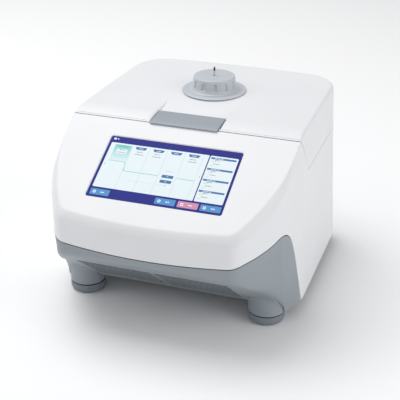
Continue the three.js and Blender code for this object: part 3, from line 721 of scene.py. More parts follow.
GRILLE_LOW, GRILLE_HIGH = node_box("intake_grille")
GRILLE_TOP_Y = GRILLE_LOW[1] - 0.4
GRILLE_FOOT_Y = GRILLE_HIGH[1] - 1.1
ABOVE_GRILLE, GRILLE_ROWS, BELOW_GRILLE = 4, 6, 4
FRONT_SKIN_END = -43.4


def crease_dish(place, seam_height):
    """How far the grey skin lies in from the white form, in front of the soft crease that runs
    down the side to the foot."""
    x, y, z = place.T
    run, deepest, tucked = 24.0, 3.3, 6.0
    crease_y = np.interp(z, (14, 45, 72, 100), (-75, -85, -93, -98))
    ahead = np.clip((crease_y - y) / run, 0, 1)
    depth = deepest * (1 - (1 - ahead) ** 2)
    side = smoothstep(95, 128, np.abs(x))
    tuck = tucked * (1 - smoothstep(15, 78, z)) * (1 - smoothstep(-78, -50, y))
    return (depth * smoothstep(0, 16, seam_height - z) + tuck) * side


# Where the grey wall turns in under the machine, by depth: the chin in front, then a ridge that
# comes down to the outer side of the foot.
TURN_Y = (-170.0, -143.6, -113.7, -100.0, -92.0, -84.0, -78.0, -74.0)
TURN_HEIGHT = (95.5, 75.5, 57.0, 46.0, 38.0, 28.0, 18.5, SKIRT_FOOT)
FRONT_FOOT = (110.5, -70.5)
POD_RADIUS = 20.8
POD_FOOT = 12.7
POD_START, POD_SWEEP = 198, 176
FLOOR_FRONT_Y = -60


def base_front():
    """The grey band, the chin under it, the wedge on each side, and the front of each foot's pod,
    which the wedge runs down into."""
    plan = Plan(FRONT_X, [y for y in SIDE_ROWS if y < FRONT_SKIN_END])
    plan.only(plan.points[:, 1] < FRONT_SKIN_END)
    seam = plan.crossing(COLOUR_LINE) - COLOUR_SEAM
    edge = np.minimum(0.5, (seam - SKIRT_FOOT) * 0.3)

    turn = np.full(len(seam), 80.0)
    for _ in range(16):
        turn = 0.5 * turn + 0.5 * np.interp(plan.skin(turn)[:, 1], TURN_Y, TURN_HEIGHT)
    turn = np.minimum(turn, seam - 2 * edge)
    turn_point = plan.skin(turn)
    along = np.concatenate([[0], np.cumsum(np.linalg.norm(np.diff(turn_point, axis=0), axis=1))])
    straight = turn_point[:, 0] <= CHIN_HALF
    panel = turn_point[:, 1] > TURN_Y[-2]
    first, last = along[straight][-1], along[~panel][-1]
    share = np.clip((along - first) / (last - first), 0, 1)

    # Straight down the chin in front; round the corner, onto the outside of the pod.
    bearing = np.radians(POD_START + POD_SWEEP * share)
    pod_x = FRONT_FOOT[0] + POD_RADIUS * np.cos(bearing)
    pod_y = FRONT_FOOT[1] + POD_RADIUS * np.sin(bearing)
    pod_top = np.maximum(chin_height(pod_y) + 4 * np.sin(math.pi * share), SKIRT_FOOT + 2)
    pod_top = pod_top * (1 - share**4) + (SKIRT_FOOT + 1.0) * share**4
    foot_y = np.full(len(seam), CHIN_FOOT[0])
    chin_foot = np.stack([turn_point[:, 0], foot_y, chin_height(foot_y)], axis=1)
    foot = np.where(straight[:, None], chin_foot, np.stack([pod_x, pod_y, pod_top], axis=1))
    length = np.linalg.norm(foot - turn_point, axis=1)
    radius = 7.0 + 6.0 * smoothstep(0.0, 0.35, share)
    radius = np.minimum(np.minimum(radius, length * 0.42), (seam - turn) * 0.42)
    down = (foot - turn_point) / np.maximum(length, 1e-6)[:, None]

    lip = plan.lip(seam, edge, up=-1)
    bottom = np.where(panel, turn + 0.4, turn + radius)
    wall = plan.wall(seam - edge, bottom, np.linspace(0, 1, 25))
    bend_end = turn_point + down * radius[:, None]
    bend_end[panel] = plan.skin(turn, 0.4)[panel]
    bend = rounded_rows(wall[-1], turn_point, bend_end, 6)
    start = bend[-1]

    # Rows down the chin stop exactly at the edges of the grille's opening.
    reach = np.maximum(foot[:, 1] - start[:, 1], 1e-6)
    stops = [0 * reach, *((y - start[:, 1]) / reach for y in (GRILLE_TOP_Y, GRILLE_FOOT_Y)), 1.0]
    counts = (ABOVE_GRILLE, GRILLE_ROWS, BELOW_GRILLE)
    chin = []
    for low, high, count in zip(stops, stops[1:], counts):
        for i in range(1, count + 1):
            chin.append(start + (foot - start) * (low + (high - low) * i / count)[:, None])
    chin.pop()
    turned_in = rounded_rows(chin.pop(), foot, foot + [0, 8.0, 0], 5)
    under = np.array([*chin, *turned_in, foot + [0, 36.0, 0]])

    # On the pod: down the slope, through a hollow, and straight down to the seam of the cap.
    fillet = np.minimum(7.0, (pod_top - POD_FOOT) * 0.6)
    into = start + (foot - start) * (1 - fillet / np.maximum(length, 8.0))[:, None]
    base = foot.copy()
    base[:, 2] = POD_FOOT
    below = foot.copy()
    below[:, 2] = pod_top - fillet
    pod = [start + (into - start) * f for f in np.linspace(0, 1, 7)[1:]]
    pod += list(rounded_rows(into, foot, below, 7)[1:])
    pod += [below + (base - below) * f for f in np.linspace(0, 1, 7)[1:]]
    under = np.where(straight[None, :, None], under, np.array(pod))

    # Behind the ridge the wall just ends in a narrow rim.
    rim = [plan.skin(turn, inset) for inset in np.linspace(0.5, 2.6, 19)]
    under = np.where(panel[None, :, None], np.array(rim), under)

    # The crease's hollow fades out over the first rows under the bend, but not behind the ridge.
    rows = np.concatenate([lip[:-1], wall, bend[1:], under])
    first_chin = len(rows) - len(under) - 1
    flat = rows.reshape(-1, 3)
    outward = np.tile(np.pad(plan.normals, ((0, 0), (0, 1))), (len(rows), 1))
    dish = crease_dish(flat, np.tile(seam, len(rows)))[:, None]
    after = np.clip(np.arange(len(rows)) - first_chin, 0, None)
    carry = np.repeat(np.clip(1 - after / 8, 0, 1), len(seam))[:, None]
    carry = np.maximum(carry, np.tile(panel, len(rows))[:, None])
    rows = (flat - outward * dish * carry).reshape(rows.shape)

    whole = round_the_front(rows)
    across = np.abs(whole[first_chin][:, 0])

    def beside_grille(row, column):
        inside = max(across[column], across[column + 1]) < GRILLE_HALF + 0.1
        return not (inside and 0 <= row - first_chin - ABOVE_GRILLE < GRILLE_ROWS)

    sheets = Sheets()
    sheets.grid(whole, keep=beside_grille)
    piece = sheets.piece("base_shell", [GREY], "machine")
    face_outwards(piece, (0, 0, 90))
    thicken(piece)
    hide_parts("base_tray")


def base_floor():
    """The flat underside of the tray, with its turned-up rim."""
    plan = Plan(FRONT_X, [y for y in SIDE_ROWS if y > FLOOR_FRONT_Y], rear_x=np.linspace(0, 90, 10))
    plan.only(plan.points[:, 1] > FLOOR_FRONT_Y)
    sheets = Sheets()
    profile = [(3.4, 27.0), (3.4, 19.6), (3.9, 19.1), (12.0, 19.1)]
    profile += [(12.0, 21.6), (5.6, 21.6), (5.6, 27.0), (3.4, 27.0)]
    whole = round_the_rear(np.array([plan.skin(z, inset) for inset, z in profile]))
    sheets.grid(whole)
    points, faces = fill_between(whole[3])
    sheets.add(points, faces)
    sheets.add(np.array(points) + [0, 0, 2.5], [face[::-1] for face in faces])
    piece = sheets.piece("base_floor", [GREY], "machine")
    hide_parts("base_tray")


def intake_grille():
    """Flush slats across the opening in the chin, in a slim frame, close over a near-black sheet that is painted
    shade in the openings.
    """
    centre_y = (GRILLE_TOP_Y + GRILLE_FOOT_Y) / 2
    half = (GRILLE_FOOT_Y - GRILLE_TOP_Y) / 2 / math.cos(CHIN_SLOPE) + 0.05
    wide, skin, back, shade_top = GRILLE_HALF, -0.05, -2.6, -0.25
    rail, end, lap = 2.0, 3.0, 0.1
    slats, slat_share = 7, 0.46
    inner = half - rail + lap
    sheets = Sheets()
    for u0, u1, v0, v1 in (
        (-wide, wide, -half, rail - half),
        (-wide, wide, half - rail, half),
        (-wide, end - wide, -inner, inner),
        (wide - end, wide, -inner, inner),
        (-2, 2, -inner, inner),
    ):
        sheets.box((u0, v0, back), (u1, v1, skin), 0.3)
    # The near-black sheet just behind the slats is painted shade in the grille's openings.
    sheets.box((-wide, -half, back - 2.0), (wide, half, shade_top), 0.3, slot=1)
    pitch = 2 * (half - rail) / (slats + 0.5)
    reach = wide - end + lap
    for slat in range(slats):
        low = rail - half + pitch * (slat + 0.5)
        high = low + pitch * slat_share
        sheets.box((-reach, low, shade_top - 0.4), (reach, high, skin), 0.05)
    turn = Matrix.Rotation(math.pi - CHIN_SLOPE, 4, "X")
    place = Matrix.Translation((0, centre_y, float(chin_height(centre_y)))) @ turn
    sheets.points = [np.array(place @ Vector(p)) for p in sheets.points]
    piece = sheets.piece("grille_slats", [GREY, SLAT_SHADE], "machine")
    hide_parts("intake_grille")


FEET = ("front_left", "front_right", "rear_left", "rear_right")


def feet():
    """Each foot is a round pod on a rubber cap with a rolled edge. The rear ones flare into the
    base; the front ones stand inside the base's own skin."""
    for name in FEET:
        cap_low, cap_high = node_box(f"foot_cap_{name}")
        centre = (cap_low + cap_high)[:2] / 2
        radius = (cap_high - cap_low)[0] / 2
        split = cap_high[2]
        front = name.startswith("front")
        top = FLOOR_HEIGHT + (7.0 if front else 0.4)
        flare = 0.0 if front else 4.0
        wall = radius - (0.3 if front else 0.0)
        pod = [(0.0, split + 1.7), (wall - 1.2, split + 1.7), (wall - 0.4, split + 1.8)]
        pod += [(wall, split + 2.2), (wall, top - 4.0)]
        pod += [*bezier(pod[-1], (wall, top - 0.6), (wall + flare, top), steps=8)[1:], (0.0, top)]
        # A dark band set into the seam between pod and cap is painted shade in the gap.
        seam_shade = [(0.0, split), (radius - 1.0, split), (radius - 1.0, split + 0.2)]
        seam_shade += [(radius - 2.5, split + 0.4), (radius - 2.5, split + 2.0), (0.0, split + 2.0)]
        sheets = Sheets()
        sheets.lathe(pod, centre)
        sheets.lathe(seam_shade, centre, slot=1)
        piece = sheets.piece(f"pod_{name}", [GREY, DARK], "machine", sharp=50)
        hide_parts(f"foot_pod_{name}")

        dark_reflection = [(0.0, 0.6), (9.0, 0.6), (9.6, 0.0), (radius - 5.5, 0.0)]
        dark_reflection += [*bezier(dark_reflection[-1], (radius - 0.6, 0.3), (radius, 5.2), steps=10)]
        dark_reflection += [(radius, split - 0.6), (radius - 0.5, split), (0.0, split)]
        sheets = Sheets()
        sheets.lathe(dark_reflection, centre)
        piece = sheets.piece(f"cap_{name}", [FOOT_RUBBER], "machine", sharp=50)
        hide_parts(f"foot_cap_{name}")


# ---------------- lid

LID_CURVE = LID_LINE + SEAM
TOP_PROFILE = side_curve(
    ((LID_FRONT_Y + SEAM, LID_FRONT_HEIGHT + SEAM), (-25, LID_TOP), (-11, LID_TOP)),
    ((-11, LID_TOP), (300, LID_TOP)),
)
CROWN = 2.5
LATCH_LOW, LATCH_HIGH = node_box("latch_tab")
POCKET_HALF = LATCH_HIGH[0] + 1.0
POCKET_REAR_Y = -8.5
POCKET_FLOOR = 202.8
SCOOP_REAR_Y = 25.0
SCOOP_DEPTH = 4.0


def lid_top(x, y):
    """The height of the lid's top, which is slightly crowned behind the latch."""
    crown = CROWN * (1 - (np.asarray(x) / 134) ** 2) * smoothstep(-10, 60, y)
    return curve_height(TOP_PROFILE, y) + crown


def lid_recess(x, y):
    """How far the latch's pocket and the scoop behind it lie below the lid's top."""
    x, y = np.abs(x), np.asarray(y)
    run = np.clip((y - POCKET_REAR_Y) / (SCOOP_REAR_Y - POCKET_REAR_Y), 0, 1)
    scoop = SCOOP_DEPTH * (1 - run) ** 1.4
    pocket = 1 - smoothstep(POCKET_REAR_Y - 1.2, POCKET_REAR_Y, y)
    deep = np.maximum(curve_height(TOP_PROFILE, y) - POCKET_FLOOR, 0)
    wall = np.interp(x - POCKET_HALF, [-0.2, 0.2, 0.9, 2.0, 3.6], [1, 0.28, 0.12, 0.03, 0])
    return (scoop * (1 - pocket) + deep * pocket) * wall


def columns_to(width):
    """Where the lid's columns stand, from the middle to its edge: close at the latch's pocket."""
    inner = [0, 8, 16, 24, 31, 37, 40, 40.8, 41.2, 41.55, 41.9, 42.5, 43.2, 44.6, 48, 54, 60]
    return inner + [60 + g * (width - 60) for g in np.linspace(0, 1, 12)[1:-1]] + [width]


def span(edge):
    """A level row of points, from the middle out to a point of the lid's edge."""
    return np.array([(x, edge[1], edge[2]) for x in columns_to(edge[0])])


def lid_cover():
    rear_x = columns_to(FACE_HALF - REAR_RADIUS)[:-1]
    side_y = {LID_FRONT_Y + SEAM, *(y for y in SIDE_ROWS if y > LID_FRONT_Y)}
    side_y |= {POCKET_REAR_Y - ahead for ahead in (0, 0.4, 0.8, 1.2)}
    plan = Plan(FRONT_X, sorted(side_y), rear_x=rear_x)
    plan.only(plan.points[:, 1] >= LID_FRONT_Y + SEAM - SAME_POINT)
    y = plan.points[:, 1]
    low = curve_height(LID_CURVE, y)
    at_edge = plan.skin(LID_TOP)
    high = lid_top(at_edge[:, 0], at_edge[:, 1])
    rear_share = smoothstep(60, 170, y)
    radius = np.minimum(4.0 + 3.0 * rear_share, (high - low) * 0.45)
    lip = np.minimum(0.5, (high - low) * 0.1)
    inner = plan.skin(high, radius)
    inner[:, 2] = lid_top(inner[:, 0], inner[:, 1])
    wall = plan.wall(low + lip, high - radius, np.linspace(0, 1, 14))
    over = rounded_rows(wall[-1], plan.skin(high), inner, 8)
    rows = np.concatenate([plan.lip(low, lip)[:-1], wall, over[1:]])

    sheets = Sheets()
    sheets.grid(round_the_rear(rows))

    # The top, from side to side, ends in the row of points along the rear edge.
    last_side = len(y) - len(rear_x) - 1
    spans = []
    for edge in inner[:last_side]:
        row = span(edge)
        x, row_y = row[:-1, 0], edge[1]
        row[:-1, 2] = lid_top(x, row_y) - lid_recess(x, row_y)
        spans.append(keep_behind_ramp(row))
    spans.append(inner[last_side:][::-1])
    sheets.grid(round_the_front(spans))

    # The ramp under the front edge.
    spans = []
    for edge in rows[0][y < 0]:
        row = span(edge)
        row[row[:, 0] < POCKET_HALF + 0.1, 2] = min(edge[2], POCKET_FLOOR)
        spans.append(keep_behind_ramp(row))
    sheets.grid(round_the_front(spans))
    piece = sheets.piece("lid_shell", [WHITE], "lid")
    face_outwards(piece, (0, 70, 175))
    thicken(piece)
    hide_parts("lid_cover")


def keep_behind_ramp(row):
    """Moves points that lie below the lid's front edge back onto the ramp."""
    ramp_y = np.interp(-row[:, 2], -LID_CURVE[:, 1], LID_CURVE[:, 0])
    row[:, 1] = np.where(row[:, 2] < LID_FRONT_HEIGHT, np.maximum(row[:, 1], ramp_y), row[:, 1])
    return row


# ---------------- latch

LATCH_HALF_SIZE = np.array([16.0, 2.6])


def latch():
    """A lever with a domed top, rounded edges and the hook that goes down to the strike."""
    pivot = joint_place("latch_lift")
    half = LATCH_HIGH[0]
    front = LATCH_LOW[1]
    rear = pivot[1] + 2.2
    upper = bezier((front + 0.3, 207.4), (-33.0, 210.6), (rear - 1.2, 210.4), steps=18)
    tail = bezier(upper[-1], (rear, 210.3), (rear, 209.0), steps=4)
    under = bezier((rear, 206.6), (-22.0, 205.8), (front + 3.0, 205.5), steps=14)
    nose = bezier(under[-1], (front - 0.3, 205.4), upper[0], steps=6)
    loop = np.concatenate([upper[:-1], tail, under[:-1], nose[:-1]])
    middle = loop.mean(axis=0)
    sheets = Sheets()
    rows = []
    for x, shrink in latch_sections(half):
        ring = middle + (loop - middle) * (1 - shrink / LATCH_HALF_SIZE)
        rows.append([(x, y, z) for y, z in ring])
    sheets.grid(rows, wrap=True)
    for row in (rows[0], rows[-1]):
        sheets.add(*fill_between(row))
    sheets.box((-7, pivot[1] - 1.2, LATCH_LOW[2] + 1), (7, pivot[1] + 1.4, 206.5), 0.5)
    sheets.box((-7, pivot[1] - 1.2, LATCH_LOW[2]), (7, pivot[1] + 3.6, LATCH_LOW[2] + 3), 0.8)
    piece = sheets.piece("latch_lever", [LATCH_GREY], "latch", sharp=50)
    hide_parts("latch_tab")


def latch_sections(half):
    """Places across the latch, with how far its outline draws in at the rounded ends."""
    ends = [(half, 0.9), (half - 0.25, 0.45), (half - 0.7, 0.12), (half - 1.2, 0.0)]
    inner = [(x, 0.0) for x in np.linspace(half - 3, -half + 3, 15)]
    return ends + inner + [(-x, shrink) for x, shrink in reversed(ends)]


# ---------------- knob

KNOB_LOW, KNOB_HIGH = node_box("pressure_knob")
COLLAR_LOW, COLLAR_HIGH = node_box("knob_collar")
FLUTES = 12
FLUTE_TURN = math.radians(-4)
GRIP_LOW_RADIUS, GRIP_HIGH_RADIUS = 26.3, 24.6
FLUTED_FROM = 20.0


def pressure_knob():
    base, top = KNOB_LOW[2] + CROWN - 0.6, KNOB_HIGH[2]
    centre = (KNOB_LOW + KNOB_HIGH)[:2] / 2
    profile = [(6.6, base + 0.2), (31.0, base), (31.3, base + 0.1)]
    profile += [*bezier(profile[-1], (27.6, base + 0.4), (26.9, base + 3.0), steps=8)[1:]]
    profile += [(26.6, base + 3.5), (GRIP_LOW_RADIUS, base + 3.8)]
    grip_low, grip_high = base + 3.8, top - 1.6
    for f in np.linspace(0, 1, 15)[1:]:
        radius = GRIP_LOW_RADIUS + (GRIP_HIGH_RADIUS - GRIP_LOW_RADIUS) * f
        profile.append((radius, grip_low + (grip_high - grip_low) * f))
    edge = (GRIP_HIGH_RADIUS - 0.15, top), (GRIP_HIGH_RADIUS - 1.9, top)
    profile += [*bezier(profile[-1], *edge, steps=6)[1:]]
    profile += [(16.0, top - 0.15), (3.0, top - 0.25), (2.2, top - 0.35), (1.7, top - 0.9)]
    profile += [(1.7, base + 8.5), (6.6, base + 8.5), profile[0]]

    sides = FLUTES * 24
    rows = []
    for radius, height in profile:
        row = []
        for i in range(sides):
            angle = 2 * math.pi * i / sides
            turn = (angle + FLUTE_TURN) * FLUTES / (2 * math.pi)
            across = (turn % 1 - 0.5) * 2 * math.pi / FLUTES * radius
            reach = radius
            if radius > FLUTED_FROM:
                reach -= flute_depth(across, height, base + 4.0, top - 3.4)
            x, y = centre[0] + reach * math.cos(angle), centre[1] + reach * math.sin(angle)
            row.append((x, y, height))
        rows.append(row)
    sheets = Sheets()
    sheets.grid(rows, wrap=True)
    piece = sheets.piece("knob_grip", [KNOB_GREY], "knob", sharp=50)
    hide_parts("pressure_knob")


def flute_depth(across, height, low, high):
    """A U-shaped flute: straight sides up the grip and a round head."""
    half, deepest, flank = 2.7, 1.3, 0.7
    head = math.hypot(across, max(0.0, height - (high - half)))
    inside = 1 - float(smoothstep(half - flank, half, head))
    return deepest * inside * float(smoothstep(low - 0.6, low + 0.3, height))


def knob_collar():
    radius = (COLLAR_HIGH - COLLAR_LOW)[0] / 2
    centre = (COLLAR_LOW + COLLAR_HIGH)[:2] / 2
    low, high = COLLAR_LOW[2] - 0.1, COLLAR_HIGH[2] + CROWN - 0.4
    rim = high - 2.0
    profile = [(9.0, low), (radius - 2.0, low), (radius - 2.0, rim - 0.3), (radius - 0.6, rim)]
    over = (radius, rim + 0.5), (radius, high - 0.9), (radius - 2.2, high - 0.6)
    profile += [*bezier(*over, steps=6)]
    profile += [(33.0, high - 0.1), (30.0, high), (9.0, high), (9.0, low)]
    sheets = Sheets()
    sheets.lathe(profile, centre, sides=144)
    piece = sheets.piece("collar_disc", [KNOB_GREY], "lid", sharp=50)
    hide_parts("knob_collar")


def height_pin():
    """The thin pin that shows how far the plate is down, with a pale grey shaft and a dark tip that are painted
    reflection: light below, dark above.
    """
    low, high = node_box("height_pin")
    centre = (low + high)[:2] / 2
    foot = (high - low)[0] / 2
    radius, tip = 1.0, high[2] - 4.2
    shaft = [(0.0, low[2]), (foot, low[2]), (foot, low[2] + 1.1), (radius, low[2] + 1.3)]
    shaft += [(radius, tip), (0.0, tip)]
    # The dark tip is painted reflection, and the pale grey shaft below it a painted highlight.
    dark_reflection = [(0.0, tip - 0.2), (radius + 0.1, tip - 0.2), (radius + 0.1, high[2] - 0.4)]
    dark_reflection += [(radius - 0.3, high[2]), (0.0, high[2])]
    sheets = Sheets()
    sheets.lathe(shaft, centre, sides=32)
    sheets.lathe(dark_reflection, centre, sides=32, slot=1)
    piece = sheets.piece("plate_pin", [KNOB_GREY, DARK], "plate", sharp=40)
    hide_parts("height_pin")


# ---------------- display

# Each colour of the display with its glow, and the slot numbers that they get.
TEAL_FADE = ((0.24, 0.58, 0.55), on_face(0, 8.6)[1], on_face(0, 30.0)[1])
DISPLAY = [
    display_pixels(f"display_{name}", colour, glow, *fade)
    for name, colour, glow, *fade in (
        ("navy", (0.002, 0.007, 0.20), 0.1),
        ("white", (0.72, 0.80, 0.83), 0.08),
        ("blue", (0.05, 0.16, 0.36), 0.1),
        ("button", (0.07, 0.24, 0.50), 0.15),
        ("pink", (0.56, 0.24, 0.37), 0.15),
        ("teal", (0.17, 0.52, 0.46), 0.1),
        ("grey", (0.20, 0.23, 0.26), 0.0),
        ("faint", (0.46, 0.55, 0.60), 0.05),
        ("icon", (0.72, 0.80, 0.88), 0.2),
        ("teal_fade", (0.68, 0.80, 0.82), 0.08, TEAL_FADE),
    )
]
NAVY, WHITE_PANEL, BLUE, KEY_BLUE, PINK, TEAL, LINE, FAINT, ICON, FADE = range(len(DISPLAY))


def display():
    """The lit touch display: a step chart in columns, a side list and a bar of buttons, as flat
    shapes laid a hair's breadth over one another under the glass."""
    level = -0.75
    sheets = Sheets()

    def slab(outline, out, thickness, slot):
        top, under = ([on_face(u, v, w) for u, v in outline] for w in (out, out - thickness))
        sheets.add(*fill_between(top), slot=slot)
        sheets.grid([under + under[:1], top + top[:1]], slot=slot)
        sheets.add(*fill_between(under), slot=slot)

    def shape(outline, slot, layer):
        slab(outline, level + 0.03 * layer, 0.02, slot)

    def plate(u0, u1, v0, v1, slot, layer, radius=0.8):
        half_u, half_v = (u1 - u0) / 2, (v1 - v0) / 2
        radius = min(radius, half_u * 0.9, half_v * 0.9)
        outline = rounded_rectangle(half_u, half_v, radius, steps=3)
        shape([(u + (u0 + u1) / 2, v + (v0 + v1) / 2) for u, v in outline], slot, layer)

    def tab(u, top, width, drop, slot, layer):
        cut = width * 0.12
        outline = [(-width / 2, 0), (width / 2, 0), (width / 2 - cut * 0.4, -drop * 0.6)]
        outline += [(width / 2 - cut, -drop), (cut - width / 2, -drop)]
        outline.append((cut * 0.4 - width / 2, -drop * 0.6))
        shape([(u + du, top + dv) for du, dv in outline[::-1]], slot, layer)

    def marks(middle, height, widths, slot, thickness=0.7):
        """A short row of plain dashes, where a real screen shows a value."""
        space = 0.55
        start = middle - (sum(widths) + space * (len(widths) - 1)) / 2
        for width in widths:
            low, high = height - thickness / 2, height + thickness / 2
            plate(start, start + width, low, high, slot, 4, 0.25)
            start += width + space

    def ring_mark(u, v):
        """A plain disc with a dot of the key's colour left out, as two half rings."""
        for turn in (0, 180):
            outer = arc((u, v), 1.9, turn + 6, turn + 174, 10)
            shape(outer + arc((u, v), 0.9, turn + 174, turn + 6, 8), ICON, 4)

    slab(rounded_rectangle(SCREEN_HALF[0] + 0.1, SCREEN_HALF[1] + 0.1, 2.0), level, 1.8, NAVY)

    # Chart on the left and list on the right.
    plate(-74.2, 41.3, -29.6, 34.2, WHITE_PANEL, 1, 1.2)
    plate(42.6, 74.6, -29.6, 34.2, WHITE_PANEL, 1, 1.2)
    first, pitch = -69.0, 20.8
    plate(first + 0.4, first + 20.0, 8.6, 32.0, FADE, 2, 0.5)
    for column in range(1, 6):
        edge = first + pitch * column
        plate(edge - 0.12, edge + 0.12, -29.0, 33.0, FAINT, 2, 0.1)
    tab(first + 10.2, 31.9, 13.2, 3.6, TEAL, 3)
    plate(first + 4.1, first + 16.5, 19.4, 26.2, WHITE_PANEL, 3, 0.6)
    for column in range(5):
        middle = first + pitch * column + 10.6
        if column > 0:
            tab(middle, 31.9, 13.2, 3.7, BLUE, 3)
            plate(middle - 2.6, middle + 2.6, 29.7, 30.3, ICON, 4, 0.2)
        if column != 3:
            marks(middle, 24.9, (3.6, 0.9, 1.4), LINE)
            marks(middle, 21.4, (1.6, 2.8, 2.2, 1.4), LINE)

    # The temperature steps: a hold, a drop, and a second hold over the last columns.
    high, low = 8.7, -3.4
    for start, end, height in ((0.2, 20.2, high), (21.4, 62.0, low), (84.4, 104.2, low)):
        plate(first + start, first + end, height - 0.28, height + 0.28, TEAL, 4, 0.2)
    slant = ((21.4, low), (22.0, low), (20.3, high), (19.7, high))
    shape([(first + u, v) for u, v in slant], TEAL, 4)
    for dash in range(22):
        start = -37.5 + dash * 1.9
        plate(start, start + 1.1, -15.5, -15.2, FAINT, 2, 0.1)
    marks(4.3, 4.4, (1.2, 2.4, 1.8, 1.2), FAINT)
    for low_edge in (-5.0, -12.0):
        plate(-2.3, 10.9, low_edge, low_edge + 4.0, BLUE, 3, 0.5)
        plate(3.3, 5.3, low_edge + 1.7, low_edge + 2.3, ICON, 4, 0.2)
    for arrow in (
        [(5.0, -14.8), (5.0, -16.0), (6.6, -15.4)],
        [(-72.4, 3.2), (-71.4, 2.2), (-71.4, 4.2)],
        [(39.6, 3.2), (38.6, 4.2), (38.6, 2.2)],
    ):
        shape(arrow, LINE, 2)

    # Four headed groups of settings.
    for group in range(4):
        top = 32.1 - group * 15.3
        plate(43.9, 72.6, top - 2.5, top, BLUE, 3, 0.5)
        for middle, below, widths, slot in (
            (53.0, 1.25, (2.6, 3.4, 2.6), ICON),
            (48.2, 5.6, (2.4, 1.8), FAINT),
            (51.8, 4.0, (2.8, 1.8), LINE),
            (52.2, 9.0, (2.2, 2.6, 1.0), LINE),
            (47.2, 11.6, (1.6, 0.8), FAINT),
        ):
            marks(middle, top - below, widths, slot)

    # The bar along the bottom, with a key at the left and three at the right.
    for left, right, colour in (
        (-74.0, -51.7, KEY_BLUE),
        (1.0, 24.0, KEY_BLUE),
        (26.7, 49.7, PINK),
        (52.0, 75.0, KEY_BLUE),
    ):
        plate(left, right, -40.4, -32.2, colour, 2, 0.9)
        ring_mark(left + 4.8, -36.3)
        marks(left + 14.2, -36.3, (2.0, 1.6), ICON, thickness=1.3)
    plate(-73.6, -70.4, 38.4, 40.8, ICON, 2, 0.5)
    plate(-69.4, -67.4, 38.9, 40.1, ICON, 2, 0.4)
    piece = sheets.piece("display_face", DISPLAY, "machine", sharp=20)
    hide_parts("display_window")


# ---------------- sample block

BLOCK_LOW, BLOCK_HIGH = node_box("sample_block")
WELL_PITCH = 9.0
WELL_COLUMNS, WELL_ROWS = 12, 8


def sample_block():
    """The block of 96 tapered wells, each with a chamfered mouth."""
    centre = (BLOCK_LOW + BLOCK_HIGH) / 2
    top = BLOCK_HIGH[2]
    steps = 6
    side = np.linspace(-0.5, 0.5, steps + 1)[:-1]
    square = [(t, -0.5) for t in side] + [(0.5, t) for t in side]
    square += [(-t, 0.5) for t in side] + [(-0.5, -t) for t in side]
    square = np.array(square) * WELL_PITCH
    angles = np.arctan2(square[:, 1], square[:, 0])
    ring = np.stack([np.cos(angles), np.sin(angles)], axis=1)
    profile = [(3.5, 0), (3.3, 0), (2.95, -0.35), (2.8, -1.2)]
    profile += [(1.5, -13.5), (0.8, -14.6), (0.0, -14.8)]
    sheets = Sheets()
    for column in range(WELL_COLUMNS):
        for row in range(WELL_ROWS):
            x = centre[0] + (column - (WELL_COLUMNS - 1) / 2) * WELL_PITCH
            y = centre[1] + (row - (WELL_ROWS - 1) / 2) * WELL_PITCH
            rows = [[(x + a, y + b, top) for a, b in square]]
            rows += [[(x + a * r, y + b * r, top + z) for a, b in ring] for r, z in profile]
            sheets.grid(rows, wrap=True)
    half_u, half_v = WELL_COLUMNS * WELL_PITCH / 2, WELL_ROWS * WELL_PITCH / 2
    inner = []
    for x, y, step_x, step_y, count in (
        (-half_u, -half_v, 1, 0, WELL_COLUMNS),
        (half_u, -half_v, 0, 1, WELL_ROWS),
        (half_u, half_v, -1, 0, WELL_COLUMNS),
        (-half_u, half_v, 0, -1, WELL_ROWS),
    ):
        for i in range(count * steps):
            along = i * WELL_PITCH / steps
            inner.append((centre[0] + x + step_x * along, centre[1] + y + step_y * along, top))
    half = (BLOCK_HIGH - BLOCK_LOW)[:2] / 2
    loops = []
    for inset, z in ((0.5, top), (0.15, top - 0.15), (0.0, top - 0.5), (0.0, BLOCK_LOW[2])):
        shape = rounded_rectangle(half[0] - inset, half[1] - inset, 4.0)
        loops.append([(centre[0] + a, centre[1] + b, z) for a, b in shape])
    sheets.add(*fill_between(loops[0], [inner]))
    sheets.grid(loops, wrap=True)
    sheets.add(*fill_between(loops[-1]))
    piece = sheets.piece("well_block", [ALUMINIUM], "machine", sharp=40)
    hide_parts("sample_block")


# ---------------- the parts taken over as they are

CARRIED_OVER = {
    "block_metal": ALUMINIUM,
    "steel": STEEL,
    "bush_metal": PIN_STEEL,
    "supply_case": SUPPLY_CASE,
    "circuit_board": BOARD,
    "ceramic": CERAMIC,
    "heater_silicone": SILICONE,
    "display_can": DISPLAY_CAN,
    "dark_plastic": DARK,
    "inner_grey": INNER_GREY,
    "shell_white": WHITE,
    "base_grey": GREY,
    "knob_grey": KNOB_GREY,
    "latch_grey": LATCH_GREY,
    "foot_rubber": FOOT_RUBBER,
    "screen": DISPLAY[NAVY],
}


WELD_DISTANCE, EDGE_WIDTH = 0.005, 0.35


def carried_over():
    """Gives every CAD part that still shows its finish and small rounded edges."""
    slots = {part["node"]: part["material_slot"] for part in frame["record"]["subparts"]}
    for name, node in frame["nodes"].items():
        if node.hide_render:
            continue
        node.data.materials.clear()
        node.data.materials.append(CARRIED_OVER[slots[name]])
        weld = node.modifiers.new("weld", "WELD")
        weld.merge_threshold = WELD_DISTANCE * MM
        bevel = node.modifiers.new("edges", "BEVEL")
        bevel.width = EDGE_WIDTH * MM
        bevel.segments = 2
        bevel.limit_method = "ANGLE"
        bevel.angle_limit = math.radians(40)


# ---------------- studio


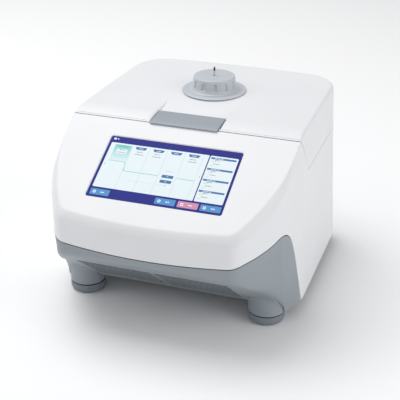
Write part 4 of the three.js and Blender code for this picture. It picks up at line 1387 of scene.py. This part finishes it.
def studio():
    floor_mesh = bpy.data.meshes.new("floor")
    floor_mesh.from_pydata([(-6, -6, 0), (6, -6, 0), (6, 6, 0), (-6, 6, 0)], [], [(0, 1, 2, 3)])
    paper = Shader("studio_paper", (0.96, 0.96, 0.96), 0.9)
    paper.bump((paper.noise(0.8), 0.002))
    floor_mesh.materials.append(paper.material)
    floor = add_to_scene("floor", floor_mesh)

    world = bpy.data.worlds.new("studio")
    world.use_nodes = True
    sky = world.node_tree.nodes["Background"].inputs
    sky["Color"].default_value = (0.97, 0.98, 1.0, 1.0)
    sky["Strength"].default_value = 0.42
    bpy.context.scene.world = world
    bpy.context.scene.view_settings.view_transform = "Standard"

    for name, place, size, watts in (
        ("key", (-0.9, 0.3, 2.2), 1.8, 34),
        ("left", (-2.3, -1.1, 1.3), 1.6, 12),
        ("right", (2.3, -0.5, 1.1), 1.6, 21),
    ):
        softbox = bpy.data.lights.new(name, "AREA")
        softbox.shape = "RECTANGLE"
        softbox.size, softbox.size_y = size, size
        softbox.energy = watts
        aim(add_to_scene(name, softbox), Vector(place), Vector((0, 0, 0.1)) - Vector(place))


def aim(thing, place, direction):
    """Puts a lamp or the camera at a place, looking along a direction."""
    thing.location = place
    thing.rotation_euler = direction.to_track_quat("-Z", "Y").to_euler()


def photographer():
    """A camera a little to the right of the front and above, as the product is usually shown."""
    azimuth, elevation, distance = math.radians(19.5), math.radians(25.2), 1.332
    target = Vector((0.0, 0.0158, 0.0922))
    level = math.cos(elevation)
    away = Vector((math.sin(azimuth) * level, -math.cos(azimuth) * level, math.sin(elevation)))
    data = bpy.data.cameras.new("camera")
    data.lens = 99.95
    data.sensor_width = 36.0
    camera = add_to_scene("camera", data)
    aim(camera, target + away * distance, -away)
    bpy.context.scene.camera = camera


# ---------------- the whole scene

upper_housing()
base_front()
base_floor()
intake_grille()
feet()
lid_cover()
latch()
pressure_knob()
knob_collar()
height_pin()
display()
sample_block()
carried_over()
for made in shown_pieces():
    if made.name not in frame["nodes"]:
        weigh_normals(made)

studio()
photographer()
